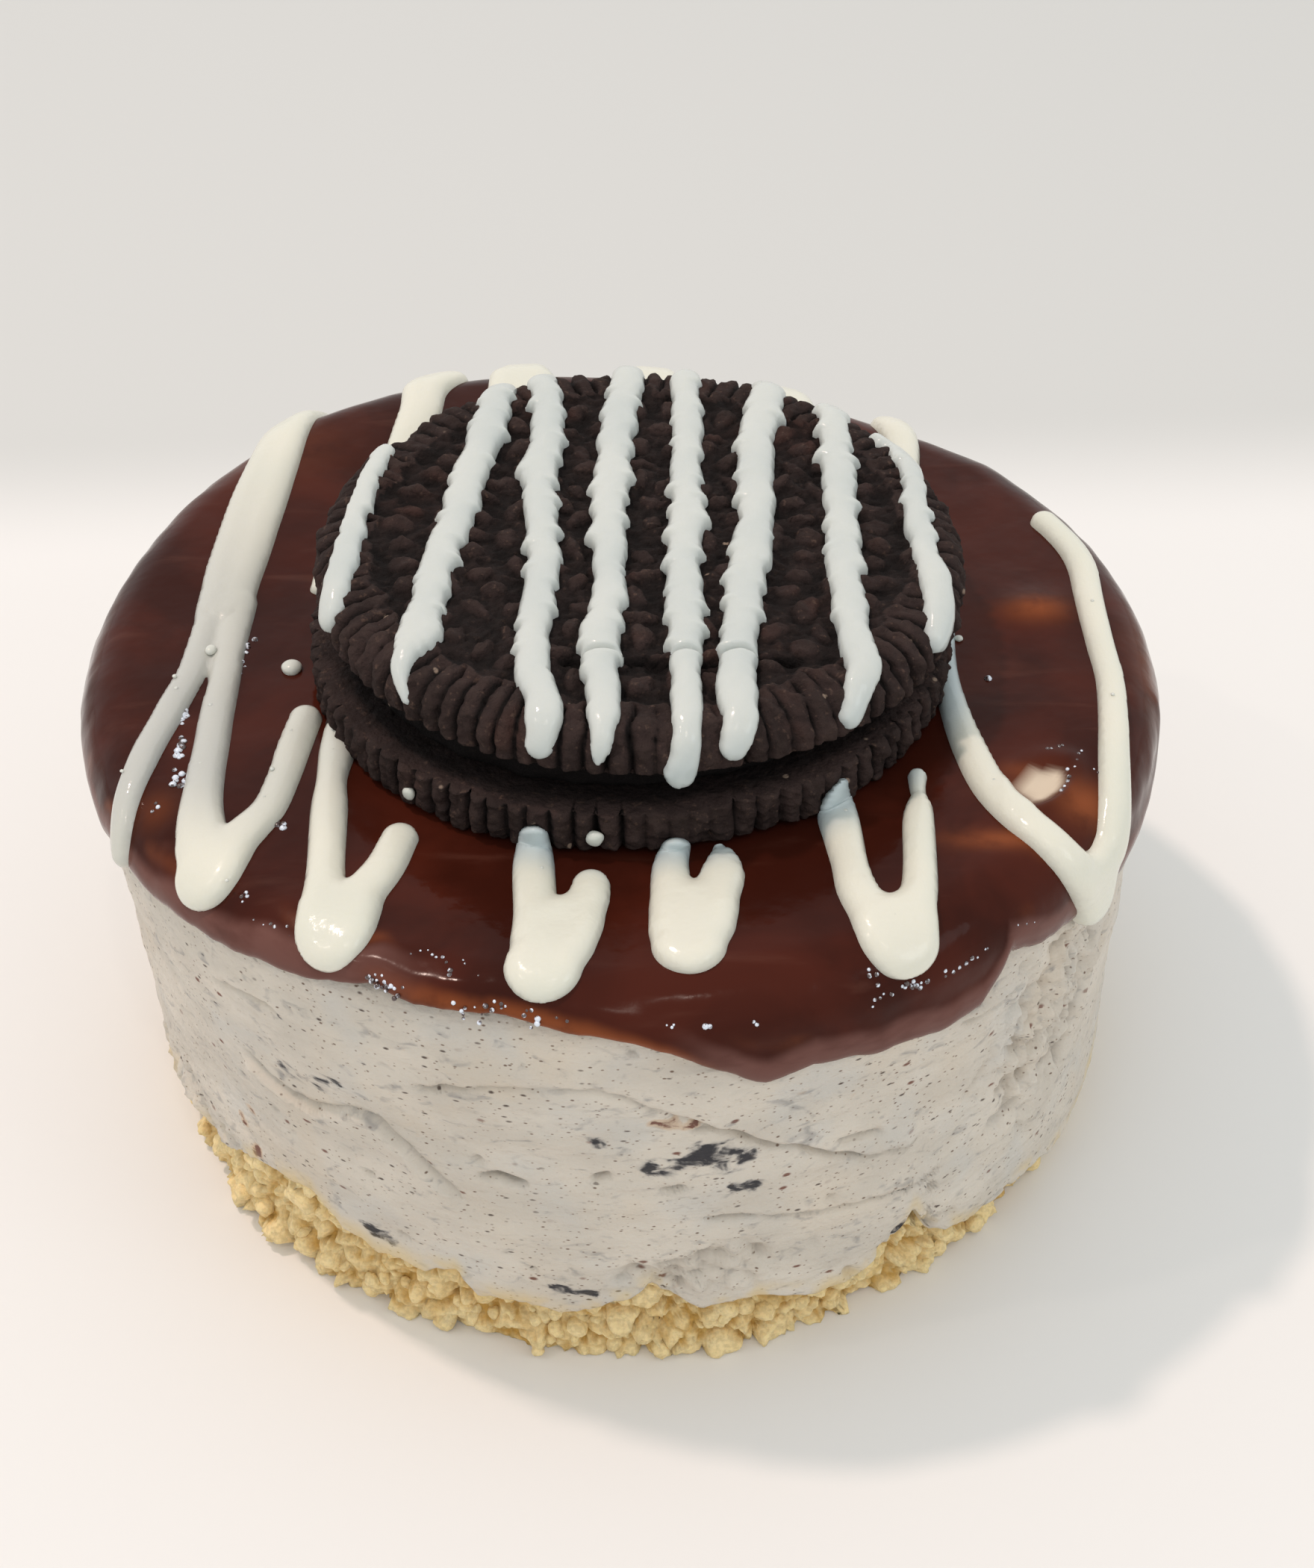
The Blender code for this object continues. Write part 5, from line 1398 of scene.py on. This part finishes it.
class CAKE_OT_cookie(bpy.types.Operator):
    """Add the sandwich cookie's two wafers and its filling."""

    bl_idname = "cake.cookie"
    bl_label = "Sandwich cookie"

    def execute(self, context):
        wafer = wafer_finish(colours("wafer"))
        columns = COOKIE_TEETH * COLUMNS_PER_TOOTH
        grid, crest_shading = wafer_grid(columns, UPPER_RINGS, WAFER_BEVEL, UPPER_SIDE_ROWS)
        upper = put_mesh("cookie_upper", with_poles(upper_place(grid)), turned_faces(*crest_shading.shape), wafer)
        paint(upper, "wafer", [pole_values(crest_shading)] * 3)
        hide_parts("wafer_top")
        grid, crest_shading = wafer_grid(columns, LOWER_RINGS, LOWER_BEVEL, LOWER_SIDE_ROWS)
        grid = grid[::-1] * [1.0, 1.0, -1.0] + [0.0, 0.0, WAFER_THICKNESS]
        flat_face = np.abs(grid[..., 2] - WAFER_THICKNESS) < 0.05
        grid[..., 2] += np.where(flat_face, 0.09 * rough(grid, 1.2, 151), 0.0)
        grid = grid + [*LOWER_CENTRE, LOWER_HEIGHT]
        lower = put_mesh("cookie_lower", with_poles(grid), turned_faces(*crest_shading.shape), wafer)
        paint(lower, "wafer", [pole_values(crest_shading[::-1])] * 3)
        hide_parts("wafer_bottom")
        turn = np.arange(FILLING_COLUMNS) * 2.0 * np.pi / FILLING_COLUMNS
        low = LOWER_HEIGHT + WAFER_THICKNESS + 0.15
        high = UPPER_HEIGHT - 0.15
        share = np.linspace(1.0, 0.0, 14)
        rows = [(8.0, 1.0), (16.0, 1.0)] + [(FILLING_RADIUS - 0.35 * (2.0 * s - 1.0) ** 4, s) for s in share]
        rows += [(16.0, 0.0), (8.0, 0.0)]
        radius, up = (np.array(part)[:, None] * np.ones(FILLING_COLUMNS) for part in zip(*rows))
        edge = 0.25 * rough(ring_points(turn, radius, up * 3.0), 2.0, 161) * between(radius, 17.0, 19.0)
        x, y = (radius + edge) * np.sin(turn), -(radius + edge) * np.cos(turn)
        tilt = UPPER_TILT[0] * (x + LOWER_CENTRE[0] - UPPER_CENTRE[0])
        tilt = tilt + UPPER_TILT[1] * (y + LOWER_CENTRE[1] - UPPER_CENTRE[1])
        z = low + up * (high - low) + up * tilt
        disc = np.stack([x + LOWER_CENTRE[0], y + LOWER_CENTRE[1], z], -1)
        # Painted shade in the gap between the wafers: the filling, a dark creme, takes 0.3 times the wafer's
        # colour and a low level on the wafer mask, so it is painted nearly black
        dark = wafer_finish([c * 0.3 for c in colours("wafer")])
        filling = put_mesh("filling_disc", with_poles(disc), turned_faces(*disc.shape[:2]), dark)
        paint(filling, "wafer", [0.1] * 3)
        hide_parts("cookie_filling")
        return {"FINISHED"}


class CAKE_OT_studio(bpy.types.Operator):
    """Add the pale floor, the lights and the camera."""

    bl_idname = "cake.studio"
    bl_label = "Floor, lights and camera"

    def execute(self, context):
        half = FLOOR_HALF
        mesh = bpy.data.meshes.new("floor")
        corners = [(-half, -half, 0.0), (half, -half, 0.0), (half, half, 0.0), (-half, half, 0.0)]
        mesh.from_pydata(corners, [], [(0, 1, 2, 3)])
        finish = Finish("Floor", 0.6, 0.1)
        split = finish.add("ShaderNodeSeparateXYZ")
        finish.link(finish.place, split.inputs["Vector"])
        far = finish.step(split.outputs["Y"], *FLOOR_CHANGE)
        mesh.materials.append(finish.done(finish.mix(far, FLOOR_NEAR, FLOOR_FAR)))
        floor = bpy.data.objects.new("floor", mesh)
        bpy.context.scene.collection.objects.link(floor)
        world = bpy.context.scene.world or bpy.data.worlds.new("World")
        bpy.context.scene.world = world
        world.use_nodes = True
        background = world.node_tree.nodes["Background"]
        background.inputs["Color"].default_value = SKY
        background.inputs["Strength"].default_value = SKY_STRENGTH
        for name, direction, distance, size, power, colour in LIGHTS:
            light = bpy.data.lights.new(name, "AREA")
            light.shape = "DISK"
            light.size = size
            light.energy = power
            light.color = colour
            lamp = bpy.data.objects.new(name, light)
            ray = np.array(direction) / np.linalg.norm(direction)
            lamp.location = (ray * distance).tolist()
            lamp.rotation_euler = (math.acos(ray[2]), 0.0, math.atan2(ray[1], ray[0]) + math.pi / 2.0)
            bpy.context.scene.collection.objects.link(lamp)
        bpy.context.scene.view_settings.view_transform = "Standard"
        camera = bpy.data.objects.new("camera", bpy.data.cameras.new("camera"))
        camera.data.sensor_fit = "AUTO"
        camera.data.sensor_width = 36.0
        camera.data.lens = CAMERA_LENS
        camera.data.clip_start = 0.01
        camera.location = [value * MM for value in CAMERA_PLACE]
        camera.rotation_euler = camera_turn()
        bpy.context.scene.collection.objects.link(camera)
        bpy.context.scene.camera = camera
        return {"FINISHED"}


def camera_turn():
    """The camera's Euler angles from its pitch down and its roll about the line of sight."""
    pitch, roll = math.radians(CAMERA_PITCH), math.radians(CAMERA_ROLL)
    ahead = np.array([0.0, math.cos(pitch), -math.sin(pitch)])
    level = np.array([1.0, 0.0, 0.0])
    upright = np.cross(level, ahead)
    right = math.cos(roll) * level - math.sin(roll) * upright
    up = math.sin(roll) * level + math.cos(roll) * upright
    return Matrix(np.stack([right, up, -ahead], -1).tolist()).to_euler()


class CAKE_PT_panel(bpy.types.Panel):
    """The cake's sizes, colours and pieces."""

    bl_idname = "CAKE_PT_panel"
    bl_label = "Cheesecake"
    bl_space_type = "VIEW_3D"
    bl_region_type = "UI"
    bl_category = "Cheesecake"

    def draw(self, context):
        for group in (context.scene.cake_sizes, context.scene.cake_colours):
            for name in group.bl_rna.properties.keys():
                if name not in ("rna_type", "name"):
                    self.layout.prop(group, name)
        for operator in OPERATORS:
            self.layout.operator(operator.bl_idname)


OPERATORS = (CAKE_OT_cheesecake, CAKE_OT_crumbs, CAKE_OT_coat, CAKE_OT_cookie, CAKE_OT_drizzle,
             CAKE_OT_studio)
CLASSES = (CakeSizes, CakeColours, *OPERATORS, CAKE_PT_panel)


def register():
    for one in CLASSES:
        bpy.utils.register_class(one)
    bpy.types.Scene.cake_sizes = bpy.props.PointerProperty(type=CakeSizes)
    bpy.types.Scene.cake_colours = bpy.props.PointerProperty(type=CakeColours)


def unregister():
    del bpy.types.Scene.cake_sizes
    del bpy.types.Scene.cake_colours
    for one in reversed(CLASSES):
        bpy.utils.unregister_class(one)


def main():
    register()
    bpy.ops.cake.cheesecake()
    bpy.ops.cake.crumbs()
    bpy.ops.cake.coat()
    bpy.ops.cake.cookie()
    bpy.ops.cake.drizzle()
    bpy.ops.cake.studio()


if __name__ == "__main__":
    main()
